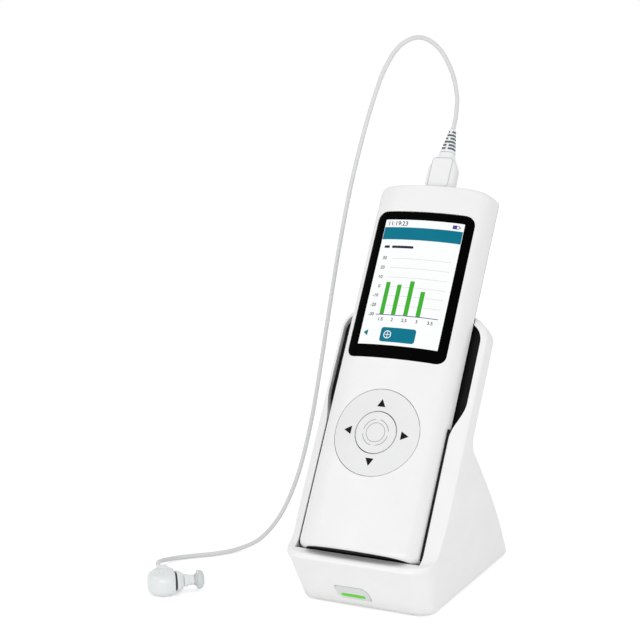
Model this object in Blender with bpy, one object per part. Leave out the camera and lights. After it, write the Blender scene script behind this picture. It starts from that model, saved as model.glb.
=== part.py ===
"""Handheld hearing screener standing in its charging dock, with its ear probe on a cord.

Units are metres. +Z is up and the dock faces -Y. The origin lies on the table, under the middle
of the dock and handset. The handset leans back in the dock, and its pieces are modelled on its own
axes: X across, Y up its length and Z out of its face. The dock's bay uses the same axes.
"""

import math

import bmesh
import bpy
import numpy as np
from mathutils import Matrix, Vector

# ---- shared values
GAP = 0.0003
OVERRUN = 0.004
SLIDE_CLEARANCE = 0.0005
SKIN_OFFSET = 0.00003
LEAN = math.radians(31.4)

# ---- handset
HANDSET_FRONT_Y = -0.0634
HANDSET_FOOT_Z = 0.0351
HANDSET_WIDTH = 0.065
HANDSET_LENGTH = 0.1933
HANDSET_DEPTH = 0.024
SEAM_DEPTH = 0.015
SHELL_WALL = 0.0022
SHELL_CORNER = 0.0035
SHELL_EDGE = 0.0012
CROWN_SHARES = (
    (0.0, 0.02), (0.246, 0.0), (0.4, -0.027), (0.554, -0.067), (0.677, -0.127), (0.8, -0.233),
    (0.877, -0.347), (0.945, -0.56), (0.985, -0.8), (1.0, -1.0),
)
REAR_SIDE_SHARES = ((1.0, 0.0), (0.955, 0.33), (0.895, 0.74), (0.865, 0.91), (0.815, 1.0))
END_LIP_DEPTH = 0.0018
END_LIP_THICKNESS = 0.0024

WINDOW_WIDTH = 0.0528
WINDOW_HEIGHT = 0.0794
WINDOW_MIDDLE = 0.138
WINDOW_CORNER = 0.0045
WINDOW_RECESS = 0.00015
WINDOW_THICKNESS = 0.0015
DISPLAY_WIDTH = 0.0446
DISPLAY_HEIGHT = 0.072
DISPLAY_CORNER = 0.001

NAV_MIDDLE = 0.0595
NAV_RADIUS = 0.0223
NAV_BORE = 0.0111
NAV_FLOOR = 0.0052
NAV_RECESS = 0.0001
BUTTON_RADIUS = 0.0106
BUTTON_FLOOR = 0.006
BUTTON_RECESS = 0.0001
BUTTON_STEM_RADIUS = 0.004
BUTTON_STEM_LENGTH = 0.0019
ROCKER_DROP = 0.0011
ROCKER_THICKNESS = 0.0012
ROCKER_RADIUS = 0.0212
ROCKER_BORE = 0.0122
ROCKER_NUB_RADIUS = 0.001
ROCKER_NUB_REACH = 0.0166
ROCKER_UNDER_CLEARANCE = 0.0012
MAT_THICKNESS = 0.0009
MAT_RADIUS = 0.0208

BOARD_THICKNESS = 0.0016
BOARD_WIDTH = 0.0565
BOARD_LOW = 0.018
BOARD_HIGH = 0.175
BOARD_CORNER = 0.002
BATTERY_WIDTH = 0.042
BATTERY_LENGTH = 0.072
BATTERY_THICKNESS = 0.0075
BATTERY_LOW = 0.022
BATTERY_CORNER = 0.003

SCREW_HEAD_RADIUS = 0.0024
SCREW_HEAD_HEIGHT = 0.001
SCREW_SHAFT_RADIUS = 0.0011
SCREW_DRIVE_RADIUS = 0.001
SCREW_DRIVE_DEPTH = 0.0006
SCREW_SINK = 0.0002
BOSS_WALL = 0.0016
REAR_SCREW_REACH_X = 0.0215
REAR_SCREW_INSET = 0.0095
REAR_SCREW_LENGTH = 0.012

SOCKET_WIDTH = 0.012
SOCKET_DEPTH = 0.0075
SOCKET_LENGTH = 0.013
SOCKET_AXIS_DEPTH = 0.011
SOCKET_CORNER = 0.0015
SOCKET_BORE_LENGTH = 0.0095
PAD_RADIUS = 0.0016
PAD_LENGTH = 0.0036
PAD_REACH_X = 0.006
PAD_AXIS_DEPTH = 0.0175

# ---- plug and strain relief
PLUG_WIDTH = 0.016
PLUG_DEPTH = 0.008
PLUG_STRAIGHT = 0.0124
PLUG_SHOULDER = 0.0099
PLUG_CORNER = 0.0024
PLUG_EDGE = 0.0005
PLUG_PAD_WIDTH = 0.0115
PLUG_PAD_LENGTH = 0.0165
PLUG_PAD_START = 0.002
PLUG_PAD_RISE = 0.0004
PLUG_PAD_CORNER = 0.0018
PLUG_TONGUE_WIDTH = 0.009
PLUG_TONGUE_DEPTH = 0.0044
PLUG_TONGUE_REACH = 0.008
PLUG_TONGUE_SEAT = 0.0022
PLUG_TONGUE_CORNER = 0.0009
RELIEF_LENGTH = 0.0139
RELIEF_WIDE = 0.0083
RELIEF_NARROW = 0.0036
RELIEF_DEPTH = 0.0066
RELIEF_ROWS = 6
RELIEF_GROOVE = 0.00062
RELIEF_GROOVE_DEPTH = 0.0005
RELIEF_WEB = 0.0012
RELIEF_OPEN_ROWS = (5, 3)

# ---- cord: points of its route, on the table's axes
CORD_RADIUS = 0.0012
CORD_POINTS = 62
CORD_ROUTE = (
    (-0.0019, 0.0757, 0.2432), (-0.0060, 0.0778, 0.2560), (-0.0128, 0.0762, 0.2680),
    (-0.0215, 0.0715, 0.2735), (-0.0302, 0.0662, 0.2695), (-0.0368, 0.0620, 0.2585),
    (-0.0420, 0.0590, 0.2430), (-0.0478, 0.0562, 0.2210), (-0.0540, 0.0535, 0.1930),
    (-0.0596, 0.0512, 0.1610), (-0.0645, 0.0490, 0.1280), (-0.0690, 0.0466, 0.0950),
    (-0.0733, 0.0430, 0.0640), (-0.0780, 0.0370, 0.0370), (-0.0836, 0.0275, 0.0165),
    (-0.0898, 0.0150, 0.0050), (-0.0965, 0.0020, 0.0018), (-0.1042, -0.0092, 0.00140),
    (-0.1128, -0.0172, 0.00140), (-0.1200, -0.0255, 0.00160), (-0.1226, -0.0350, 0.00270),
    (-0.1202, -0.0430, 0.00450),
)

# ---- ear probe
PROBE_X = -0.1000
PROBE_Y = -0.0700
PROBE_TURN = math.radians(38.0)
PROBE_RADIUS = 0.0086
PROBE_TAIL = 0.0111
PROBE_THICKNESS = 0.011
PROBE_EDGE = 0.0032
PROBE_TAIL_WIDTH = 0.0056
PROBE_FACE_RADIUS = 0.0062
PROBE_FACE_SINK = 0.0004
PROBE_KEY_WIDTH = 0.002
PROBE_KEY_LENGTH = 0.004
PROBE_CUT = 0.0050
SEAL_THICKNESS = 0.0006
SEAL_INSET = 0.0004
COLLAR_LENGTH = 0.0034
COLLAR_WIDTH = 0.0126
COLLAR_HEIGHT = 0.0096
COLLAR_SIDES = 8
NOZZLE_RADIUS = 0.0032
NOZZLE_LENGTH = 0.0052
NOZZLE_STUD_RADIUS = 0.0017
NOZZLE_STUD_LENGTH = 0.0036
TIP_RADIUS = 0.0049
TIP_LENGTH = 0.0048
TIP_WALL = 0.0011
SLEEVE_LENGTH = 0.0102
SLEEVE_WIDE = 0.0053
SLEEVE_NARROW = 0.0033

# ---- dock
FOOT_HEIGHT = 0.0008
DOCK_REAR_Y = 0.0637
DOCK_FRONT_FOOT_Y = -0.0467
DOCK_RIM_Y = -0.0618
DOCK_RIM_Z = 0.0269
LEDGE_Z = 0.0294
DOCK_HALF_WIDTH = 0.0404
DOCK_FOOT_NARROWING = 0.0051
DOCK_TAPER_HEIGHT = 0.060
DOCK_FRONT_CORNER_LOW = 0.0085
DOCK_FRONT_CORNER_HIGH = 0.013
DOCK_REAR_CORNER = 0.004
DOCK_FOOT_EDGE = 0.0006
LIP_HEIGHT = 0.0028
LIP_PROUD = 0.0009
LIP_ROUND = 0.0024
KINK_Z = 0.0766
KINK_ROUND = 0.003
BACKREST_DEPTH = 0.030
BACKREST_TOP = 0.1307
BACKREST_CORNER = 0.0134
BACKREST_EDGE = 0.0016
WING_INNER_DEPTH = 0.012
WING_OUTER_DEPTH = 0.017
WING_INNER_X = 0.0333
WING_ROUND = 0.0012
WING_FILLET = 0.009
BAY_HALF_WIDTH = 0.0334
BAY_WIDE_HALF_WIDTH = 0.0377
BAY_WIDENS_AT = 0.064
BAY_WIDE_AT = 0.084
BAY_TOP = 0.126
BAY_CORNER = 0.0095
BAY_DEPTH = 0.0267
BAY_SILL = 0.0006
DOCK_WALL = 0.0026
DOCK_CEILING_Z = 0.0128
WEDGE_TOP_Z = 0.060
ARC_STEPS = 8
KEY_STEPS = 48

LINER_FRONT_DEPTH = 0.0185
LINER_FLOOR = 0.0025
LINER_FLOOR_FRONT_DEPTH = 0.0115

BASE_THICKNESS = 0.0026
BASE_CORNER = 0.006
RUBBER_RADIUS = 0.0045
RUBBER_SINK = 0.0007
RUBBER_INSET_X = 0.0075
RUBBER_INSET_FRONT = 0.0095
RUBBER_INSET_REAR = 0.010
BASE_SCREW_INSET_X = 0.005
BASE_SCREW_INSET_FRONT = 0.021
BASE_SCREW_INSET_REAR = 0.022
BASE_SCREW_LENGTH = 0.0065
DOCK_BOARD_WIDTH = 0.040
DOCK_BOARD_LENGTH = 0.046
DOCK_BOARD_MIDDLE_Y = 0.018
DOCK_BOARD_THICKNESS = 0.0016
DOCK_POST_RADIUS = 0.002
DOCK_POST_INSET = 0.004
DOCK_POST_HEIGHT = 0.0016

CONTACT_WIDTH = 0.020
CONTACT_DEPTH = 0.008
CONTACT_HEIGHT = 0.0045
CONTACT_SHAFT_WIDTH = 0.012
CONTACT_SHAFT_DEPTH = 0.004
CONTACT_CORNER = 0.001
PIN_RADIUS = 0.001
PIN_LENGTH = 0.0056
PIN_BORE_CLEARANCE = 0.0003
PIN_TRAVEL = 0.0008

BADGE_WIDTH = 0.0185
BADGE_HEIGHT = 0.0082
BADGE_THICKNESS = 0.0009
BADGE_PROUD = 0.0003
BADGE_MIDDLE_X = -0.0035
BADGE_MIDDLE_SHARE = 0.30
BADGE_SHARES = (
    (-0.50, 0.36), (-0.44, 0.50), (0.30, 0.50), (0.43, 0.30), (0.50, -0.30), (0.46, -0.50),
    (-0.34, -0.50), (-0.45, -0.30),
)
LIGHT_WIDTH = 0.0126
LIGHT_HEIGHT = 0.0016
LIGHT_DEPTH = 0.0045
LIGHT_DROP = 0.0016
LIGHT_PROUD = 0.0002

INLET_WIDTH = 0.0094
INLET_HEIGHT = 0.0038
INLET_LENGTH = 0.0075
INLET_WALL = 0.0004
INLET_TONGUE = 0.0007
INLET_Z = 0.0078
INLET_RECESS = 0.0024
INLET_MARGIN = 0.0022


# ---- small tools for shapes

def clear_scene():
    for obj in list(bpy.data.objects):
        bpy.data.objects.remove(obj, do_unlink=True)


def material(name, colour, roughness, metallic=0.0):
    made = bpy.data.materials.new(name)
    made.use_nodes = True
    made.diffuse_color = (*colour, 1.0)
    shader = made.node_tree.nodes["Principled BSDF"]
    shader.inputs["Base Color"].default_value = (*colour, 1.0)
    shader.inputs["Roughness"].default_value = roughness
    shader.inputs["Metallic"].default_value = metallic
    return made


def empty(name, matrix):
    made = bpy.data.objects.new(name, None)
    bpy.context.scene.collection.objects.link(made)
    made.matrix_world = matrix
    return made


def solid(name, points, faces, look=None, frame=None, origin=(0, 0, 0)):
    """A mesh object whose points are given on its frame's axes, with its own origin at `origin`."""
    mesh = bpy.data.meshes.new(name)
    shift = Vector(origin)
    mesh.from_pydata([Vector(p) - shift for p in points], [], faces)
    work = bmesh.new()
    work.from_mesh(mesh)
    bmesh.ops.recalc_face_normals(work, faces=work.faces)
    work.to_mesh(mesh)
    work.free()
    made = bpy.data.objects.new(name, mesh)
    bpy.context.scene.collection.objects.link(made)
    made.parent = frame
    made.location = shift
    if look is not None:
        mesh.materials.append(look)
        smooth(mesh)
    return made


def smooth(mesh):
    mesh.shade_smooth()
    mesh.set_sharp_from_angle(angle=math.radians(32.0))


def combine(body, tool, operation="DIFFERENCE"):
    """Add a Boolean with a helper, which stays out of renders."""
    tool.hide_render = True
    tool.display_type = "WIRE"
    step = body.modifiers.new(tool.name, "BOOLEAN")
    step.operation = operation
    step.solver = "EXACT"
    step.object = tool
    return body


def finish(body):
    """Turn a body's Booleans into its mesh, shade it and remove the helpers."""
    bpy.context.view_layer.update()
    graph = bpy.context.evaluated_depsgraph_get()
    mesh = bpy.data.meshes.new_from_object(body.evaluated_get(graph))
    tools = [step.object for step in body.modifiers]
    body.modifiers.clear()
    body.data = mesh
    mesh.name = body.name
    smooth(mesh)
    for tool in tools:
        bpy.data.objects.remove(tool, do_unlink=True)
    return body


def loft(rings):
    """Points and faces of a closed skin through rings of the same number of points."""
    count = len(rings[0])
    points = [p for ring in rings for p in ring]
    faces = [tuple(range(count)), tuple((len(rings) - 1) * count + k for k in range(count))]
    for level in range(len(rings) - 1):
        low = level * count
        for k in range(count):
            nxt = (k + 1) % count
            faces.append((low + k, low + nxt, low + count + nxt, low + count + k))
    return points, faces


def lathe(profile, steps):
    """A solid of revolution about Z from its (radius, height) profile, the ends capped flat."""
    rings = []
    for radius, height in profile:
        turn = [2 * math.pi * k / steps for k in range(steps)]
        rings.append([(radius * math.cos(a), radius * math.sin(a), height) for a in turn])
    return loft(rings)


def ring_lathe(profile, steps):
    """A ring about Z from a closed (radius, height) profile that stays off the axis."""
    count = len(profile)
    points = []
    for k in range(steps):
        a = 2 * math.pi * k / steps
        points += [(r * math.cos(a), r * math.sin(a), h) for r, h in profile]
    faces = []
    for k in range(steps):
        here, there = k * count, ((k + 1) % steps) * count
        for i in range(count):
            j = (i + 1) % count
            faces.append((here + i, there + i, there + j, here + j))
    return points, faces


def arc(centre, radius, start, end, steps):
    """Points of an arc in degrees, both ends included."""
    angles = np.radians(np.linspace(start, end, steps + 1))
    return [(centre[0] + radius * math.cos(a), centre[1] + radius * math.sin(a)) for a in angles]


def rounded(width, height, corner, steps=4, middle=(0, 0)):
    """Outline of a rectangle with round corners, anticlockwise."""
    x, y = middle
    a, b = width / 2 - corner, height / 2 - corner
    return (
        arc((x + a, y + b), corner, 0, 90, steps) + arc((x - a, y + b), corner, 90, 180, steps)
        + arc((x - a, y - b), corner, 180, 270, steps) + arc((x + a, y - b), corner, 270, 360, steps)
    )


def along_z(outline, low, high):
    return loft([[(x, y, low) for x, y in outline], [(x, y, high) for x, y in outline]])


def along_y(outline, low, high):
    """The outline's own x and y become X and Z."""
    return loft([[(x, low, y) for x, y in outline], [(x, high, y) for x, y in outline]])


def box(low, high):
    outline = [(low[0], low[1]), (high[0], low[1]), (high[0], high[1]), (low[0], high[1])]
    return along_z(outline, low[2], high[2])


def moved(shape, matrix):
    points, faces = shape
    return [tuple(matrix @ Vector(p)) for p in points], faces


def smooth_line(points, spans):
    """A Catmull-Rom line through the points, with `spans` pieces between each two."""
    pts = [np.array(p, float) for p in points]
    pts = [2 * pts[0] - pts[1]] + pts + [2 * pts[-1] - pts[-2]]
    line = []
    for a, b, c, d in zip(pts, pts[1:], pts[2:], pts[3:]):
        for k in range(spans):
            t = k / spans
            line.append(0.5 * (2 * b + (c - a) * t + (2 * a - 5 * b + 4 * c - d) * t**2
                               + (3 * b - a - 3 * c + d) * t**3))
    line.append(pts[-2])
    return line


def even_line(line, count):
    """The same line with `count` points at equal steps along it."""
    line = np.array(line)
    run = np.concatenate([[0], np.cumsum(np.linalg.norm(np.diff(line, axis=0), axis=1))])
    marks = np.linspace(0, run[-1], count)
    return [tuple(np.interp(m, run, line[:, k]) for k in range(3)) for m in marks], run[-1]


def round_in(distance, radius):
    """How far a rounded edge of this radius stands back at a distance from the end."""
    if distance >= radius:
        return 0.0
    return radius - math.sqrt(radius**2 - (radius - distance) ** 2)


# ---- the handset's cross-section

HALF = HANDSET_WIDTH / 2
CROWN = [(a, b) for a, b in smooth_line(
    [(HALF * x, SEAM_DEPTH * z) for x, z in CROWN_SHARES], 2)]


def crown(x):
    """Height of the handset's face at a distance from its middle line."""
    return float(np.interp(abs(x), [p[0] for p in CROWN], [p[1] for p in CROWN]))


def face_section(half_width, drop, floor):
    """The crowned front from seam to seam, narrowed and lowered near the ends."""
    right = [(x * half_width / HALF, (z + floor) * (floor - drop) / floor - floor) for x, z in CROWN]
    left = [(-x, z) for x, z in right[:0:-1]]
    return left + right


def inner_section(wall, low, narrower=0.0):
    """The face section drawn in by a wall, open at the back down to `low`."""
    shrink = (SEAM_DEPTH - wall) / SEAM_DEPTH
    line = [(x, z * shrink - wall) for x, z in
            face_section(HALF - wall - narrower, 0.0, SEAM_DEPTH)]
    return [(line[0][0], low)] + line[1:-1] + [(line[-1][0], low)]


def end_lip(wall, low, start, thickness):
    """A slab across the handset's foot, under its face and inside its rounded corners."""
    places = [s * SHELL_CORNER for s in (0.0, 0.06, 0.2, 0.45)] + [thickness]
    rings = []
    for y in places:
        section = inner_section(wall, low, round_in(y, SHELL_CORNER))
        rings.append([(x, y if y > start else start, z) for x, z in section])
    return loft(rings)


def rear_section(grow, front, back):
    """The rear cover's sides and back, from the seam on the right round to the left."""
    depth = back - front
    right = [(x * HALF + grow, -(front + depth * z)) for x, z in REAR_SIDE_SHARES]
    return right + [(-x, z) for x, z in right[::-1]]


def lean_matrix():
    """The handset's axes on the table: X across, Y up its length, Z out of its face."""
    s, c = math.sin(LEAN), math.cos(LEAN)
    return Matrix((
        (1, 0, 0, 0),
        (0, s, -c, HANDSET_FRONT_Y),
        (0, c, s, HANDSET_FOOT_Z),
        (0, 0, 0, 1),
    ))


def screw(name, head_top, look, frame, length):
    """A small pan-head screw pointing down Z from the top of its head."""
    profile = [
        (SCREW_SHAFT_RADIUS, -length), (SCREW_SHAFT_RADIUS, -SCREW_HEAD_HEIGHT),
        (SCREW_HEAD_RADIUS, -SCREW_HEAD_HEIGHT), (SCREW_HEAD_RADIUS, -SCREW_HEAD_HEIGHT / 3),
        (SCREW_HEAD_RADIUS * 0.85, 0.0), (SCREW_DRIVE_RADIUS, 0.0),
        (SCREW_DRIVE_RADIUS, -SCREW_DRIVE_DEPTH),
    ]
    points, faces = moved(lathe(profile, 10), head_top)
    return solid(name, points, faces, look, frame, head_top.to_translation())


clear_scene()

WHITE = material("shell_white", (0.90, 0.90, 0.89), 0.32)
DOCK_WHITE = material("dock_white", (0.86, 0.86, 0.85), 0.38)
KEY_GREY = material("key_grey", (0.80, 0.82, 0.82), 0.40)
BLACK = material("case_black", (0.012, 0.012, 0.013), 0.45)
GLASS = material("window_black", (0.006, 0.006, 0.007), 0.08)
LIGHT = material("light_green", (0.13, 0.50, 0.06), 0.30)
BADGE = material("badge_grey", (0.74, 0.76, 0.76), 0.35)
BOARD = material("board_green", (0.02, 0.16, 0.07), 0.50)
PANEL = material("panel_grey", (0.30, 0.32, 0.34), 0.40)
CELL = material("cell_grey", (0.25, 0.27, 0.30), 0.45)
RUBBER = material("rubber_grey", (0.10, 0.10, 0.10), 0.85)
STEEL = material("steel", (0.60, 0.60, 0.61), 0.28, 1.0)
GOLD = material("contact_gold", (0.85, 0.62, 0.25), 0.25, 1.0)
CORD = material("cord_white", (0.86, 0.87, 0.87), 0.45)
PROBE = material("probe_white", (0.85, 0.87, 0.87), 0.30)
SLEEVE = material("sleeve_green", (0.68, 0.76, 0.72), 0.40)
SEAL = material("seal_dark", (0.06, 0.07, 0.07), 0.60)
TIP = material("tip_clear", (0.82, 0.86, 0.86), 0.45)

HANDSET = empty("handset_axes", lean_matrix())
DOCK = empty("dock_axes", Matrix.Identity(4))


# ---- handset: front shell

def station_list(length, radius):
    """Places along the handset, close together at the rounded ends."""
    near = [radius * s for s in (0.0, 0.06, 0.2, 0.45, 1.0)]
    return near + [length / 2] + [length - d for d in near[::-1]]


def front_shell():
    rings = []
    for y in station_list(HANDSET_LENGTH, SHELL_CORNER):
        end = min(y, HANDSET_LENGTH - y)
        half = HALF - round_in(end, SHELL_CORNER)
        drop = round_in(end, SHELL_EDGE)
        rings.append([(x, y, z) for x, z in face_section(half, drop, SEAM_DEPTH)])
    body = solid("front_shell", *loft(rings), WHITE, HANDSET)

    inner = inner_section(SHELL_WALL, -SEAM_DEPTH - OVERRUN)
    combine(body, solid("cut_room", *along_y(inner, SHELL_WALL, HANDSET_LENGTH - SHELL_WALL),
                        frame=HANDSET))

    for i, (x, y) in enumerate(rear_screw_places()):
        boss = SCREW_SHAFT_RADIUS + GAP + BOSS_WALL
        top = -SHELL_WALL / 2 - abs(crown(x))
        post = lathe([(boss, -SEAM_DEPTH + GAP), (boss, top)], 16)
        combine(body, solid(f"boss_{i}", *moved(post, Matrix.Translation((x, y, 0))),
                            frame=HANDSET), "UNION")
        hole = SCREW_SHAFT_RADIUS + GAP
        bore = lathe([(hole, -SEAM_DEPTH - OVERRUN), (hole, top - SHELL_WALL - BOSS_WALL)], 12)
        combine(body, solid(f"bore_{i}", *moved(bore, Matrix.Translation((x, y, 0))),
                            frame=HANDSET))

    window = rounded(WINDOW_WIDTH + 2 * GAP, WINDOW_HEIGHT + 2 * GAP, WINDOW_CORNER + GAP, 5,
                     (0, WINDOW_MIDDLE))
    combine(body, solid("cut_window", *along_z(window, -SEAM_DEPTH, OVERRUN), frame=HANDSET))
    keys = lathe([(NAV_RADIUS + GAP, -SEAM_DEPTH), (NAV_RADIUS + GAP, OVERRUN)], KEY_STEPS)
    combine(body, solid("cut_keys", *moved(keys, Matrix.Translation((0, NAV_MIDDLE, 0))),
                        frame=HANDSET))
    mouth = rounded(SOCKET_WIDTH + 2 * GAP, SOCKET_DEPTH + 2 * GAP, SOCKET_CORNER + GAP, 4,
                    (0, -SOCKET_AXIS_DEPTH))
    combine(body, solid("cut_mouth", *along_y(mouth, HANDSET_LENGTH - SOCKET_LENGTH,
                                              HANDSET_LENGTH + OVERRUN), frame=HANDSET))
    notch = end_lip(END_LIP_DEPTH, -SEAM_DEPTH - 2 * OVERRUN, 0.0, END_LIP_THICKNESS + GAP)
    notch[0][:] = [(x, y if y > 0.0 else -OVERRUN, z) for x, y, z in notch[0]]
    combine(body, solid("cut_notch", *notch, frame=HANDSET))
    return finish(body)


def rear_screw_places():
    low, high = REAR_SCREW_INSET, HANDSET_LENGTH - REAR_SCREW_INSET
    return [(-REAR_SCREW_REACH_X, low), (REAR_SCREW_REACH_X, low),
            (-REAR_SCREW_REACH_X, high), (REAR_SCREW_REACH_X, high)]


# ---- handset: rear cover, which also wraps the bottom end

def rear_cover():
    rings = []
    for y in station_list(HANDSET_LENGTH, SHELL_CORNER):
        inset = round_in(min(y, HANDSET_LENGTH - y), SHELL_CORNER)
        rings.append([(x, y, z) for x, z in
                      rear_section(-inset, SEAM_DEPTH + GAP, HANDSET_DEPTH - inset / 2)])
    body = solid("rear_cover", *loft(rings), BLACK, HANDSET)
    lip = end_lip(END_LIP_DEPTH + GAP, -SEAM_DEPTH - SHELL_WALL, SKIN_OFFSET, END_LIP_THICKNESS)
    combine(body, solid("end_lip", *lip, frame=HANDSET), "UNION")
    inner = rear_section(-SHELL_WALL, SEAM_DEPTH, HANDSET_DEPTH - SHELL_WALL)
    inner = [(inner[0][0], -SEAM_DEPTH + OVERRUN)] + inner[1:-1] + [(inner[-1][0], -SEAM_DEPTH + OVERRUN)]
    combine(body, solid("cut_room", *along_y(inner, END_LIP_THICKNESS + SKIN_OFFSET,
                                             HANDSET_LENGTH - SHELL_WALL), frame=HANDSET))
    for i, (x, y) in enumerate(rear_screw_places()):
        head, hole = SCREW_HEAD_RADIUS + GAP, SCREW_SHAFT_RADIUS + GAP
        floor = -HANDSET_DEPTH + SCREW_SINK + SCREW_HEAD_HEIGHT + GAP
        well = lathe([(head, -HANDSET_DEPTH - OVERRUN), (head, floor), (hole, floor),
                      (hole, -SEAM_DEPTH)], 12)
        combine(body, solid(f"well_{i}", *moved(well, Matrix.Translation((x, y, 0))),
                            frame=HANDSET))
    for i, side in enumerate((-1, 1)):
        pad = PAD_RADIUS + GAP
        hole = along_y(arc((side * PAD_REACH_X, -PAD_AXIS_DEPTH), pad, 0, 337.5, 15),
                       -OVERRUN, END_LIP_THICKNESS + OVERRUN)
        combine(body, solid(f"pad_hole_{i}", *hole, frame=HANDSET))
    return finish(body)


# ---- handset: display, keys and what they sit on

def crown_slab(name, half_width, low, high, top_drop, floor, follows, look):
    """A slice of the crowned face between two places, with a flat or a following underside."""
    reach = [x for x, _ in CROWN if x < half_width] + [half_width]
    line = [-x for x in reach[:0:-1]] + reach
    top = [(x, crown(x) - top_drop) for x in line]
    bottom = [(x, crown(x) - floor if follows else -floor) for x in line[::-1]]
    return solid(name, *along_y(top + bottom, low, high), look, HANDSET)


def display_window():
    body = crown_slab("display_window", WINDOW_WIDTH / 2 + SHELL_EDGE,
                      WINDOW_MIDDLE - WINDOW_HEIGHT / 2 - OVERRUN,
                      WINDOW_MIDDLE + WINDOW_HEIGHT / 2 + OVERRUN,
                      WINDOW_RECESS, WINDOW_RECESS + WINDOW_THICKNESS, True, GLASS)
    outline = rounded(WINDOW_WIDTH, WINDOW_HEIGHT, WINDOW_CORNER, 6, (0, WINDOW_MIDDLE))
    combine(body, solid("window_outline", *along_z(outline, -SEAM_DEPTH, OVERRUN),
                        frame=HANDSET), "INTERSECT")
    return finish(body)


DISPLAY_TOP = crown(DISPLAY_WIDTH / 2) - WINDOW_RECESS - WINDOW_THICKNESS - GAP
ROCKER_TOP = -NAV_FLOOR - ROCKER_DROP
ROCKER_FLOOR = ROCKER_TOP - ROCKER_THICKNESS
MAT_TOP = ROCKER_FLOOR - ROCKER_UNDER_CLEARANCE
MAT_FLOOR = MAT_TOP - MAT_THICKNESS
BOARD_TOP = MAT_FLOOR - GAP
BOARD_FLOOR = BOARD_TOP - BOARD_THICKNESS


def display_module():
    outline = rounded(DISPLAY_WIDTH, DISPLAY_HEIGHT, DISPLAY_CORNER, 2, (0, WINDOW_MIDDLE))
    return solid("display_module", *along_z(outline, MAT_FLOOR, DISPLAY_TOP), PANEL, HANDSET)


def nav_ring():
    low, high = NAV_MIDDLE - NAV_RADIUS - OVERRUN, NAV_MIDDLE + NAV_RADIUS + OVERRUN
    body = crown_slab("nav_ring", NAV_RADIUS + OVERRUN / 4, low, high, NAV_RECESS, NAV_FLOOR,
                      False, KEY_GREY)
    ring = ring_lathe([(NAV_BORE, -SEAM_DEPTH), (NAV_RADIUS, -SEAM_DEPTH), (NAV_RADIUS, OVERRUN),
                       (NAV_BORE, OVERRUN)], KEY_STEPS)
    combine(body, solid("ring_outline", *moved(ring, Matrix.Translation((0, NAV_MIDDLE, 0))),
                        frame=HANDSET), "INTERSECT")
    return finish(body)


def center_button():
    reach = BUTTON_RADIUS + OVERRUN / 4
    foot = BUTTON_FLOOR + BUTTON_STEM_LENGTH
    body = crown_slab("center_button", reach, NAV_MIDDLE - reach, NAV_MIDDLE + reach,
                      BUTTON_RECESS, foot, False, KEY_GREY)
    cap = lathe([(BUTTON_STEM_RADIUS, -foot - OVERRUN), (BUTTON_STEM_RADIUS, -BUTTON_FLOOR),
                 (BUTTON_RADIUS, -BUTTON_FLOOR), (BUTTON_RADIUS, OVERRUN)], KEY_STEPS)
    combine(body, solid("button_outline", *moved(cap, Matrix.Translation((0, NAV_MIDDLE, 0))),
                        frame=HANDSET), "INTERSECT")
    return finish(body)


def nav_rocker():
    """The plate under the ring: it tips on two nubs below, and the ring tips on two nubs above."""
    plate = ring_lathe([(ROCKER_BORE, ROCKER_FLOOR), (ROCKER_RADIUS, ROCKER_FLOOR),
                        (ROCKER_RADIUS, ROCKER_TOP), (ROCKER_BORE, ROCKER_TOP)], 32)
    middle = Matrix.Translation((0, NAV_MIDDLE, 0))
    body = solid("nav_rocker", *moved(plate, middle), PANEL, HANDSET)
    mid_plate = (ROCKER_TOP + ROCKER_FLOOR) / 2
    above = lathe([(ROCKER_NUB_RADIUS, mid_plate), (ROCKER_NUB_RADIUS, -NAV_FLOOR - GAP)], 10)
    below = lathe([(ROCKER_NUB_RADIUS, MAT_TOP + GAP), (ROCKER_NUB_RADIUS, mid_plate)], 10)
    for i, side in enumerate((-1, 1)):
        on_y = Matrix.Translation((0, NAV_MIDDLE + side * ROCKER_NUB_REACH, 0))
        on_x = Matrix.Translation((side * ROCKER_NUB_REACH, NAV_MIDDLE, 0))
        combine(body, solid(f"nub_above_{i}", *moved(above, on_y), frame=HANDSET), "UNION")
        combine(body, solid(f"nub_below_{i}", *moved(below, on_x), frame=HANDSET), "UNION")
    return finish(body)


def keypad_mat():
    mat = lathe([(MAT_RADIUS, MAT_FLOOR), (MAT_RADIUS, MAT_TOP)], 32)
    return solid("keypad_mat", *moved(mat, Matrix.Translation((0, NAV_MIDDLE, 0))), RUBBER, HANDSET)


def main_board():
    outline = rounded(BOARD_WIDTH, BOARD_HIGH - BOARD_LOW, BOARD_CORNER, 3,
                      (0, (BOARD_HIGH + BOARD_LOW) / 2))
    return solid("main_board", *along_z(outline, BOARD_FLOOR, BOARD_TOP), BOARD, HANDSET)


def battery():
    outline = rounded(BATTERY_WIDTH, BATTERY_LENGTH, BATTERY_CORNER, 3,
                      (0, BATTERY_LOW + BATTERY_LENGTH / 2))
    top = BOARD_FLOOR - GAP
    return solid("battery", *along_z(outline, top - BATTERY_THICKNESS, top), CELL, HANDSET)


def rear_screws():
    turn_over = Matrix.Rotation(math.pi, 4, "X")
    for i, (x, y) in enumerate(rear_screw_places()):
        head_top = Matrix.Translation((x, y, -HANDSET_DEPTH + SCREW_SINK)) @ turn_over
        screw(f"rear_screw_{i + 1}", head_top, STEEL, HANDSET, REAR_SCREW_LENGTH)


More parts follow.
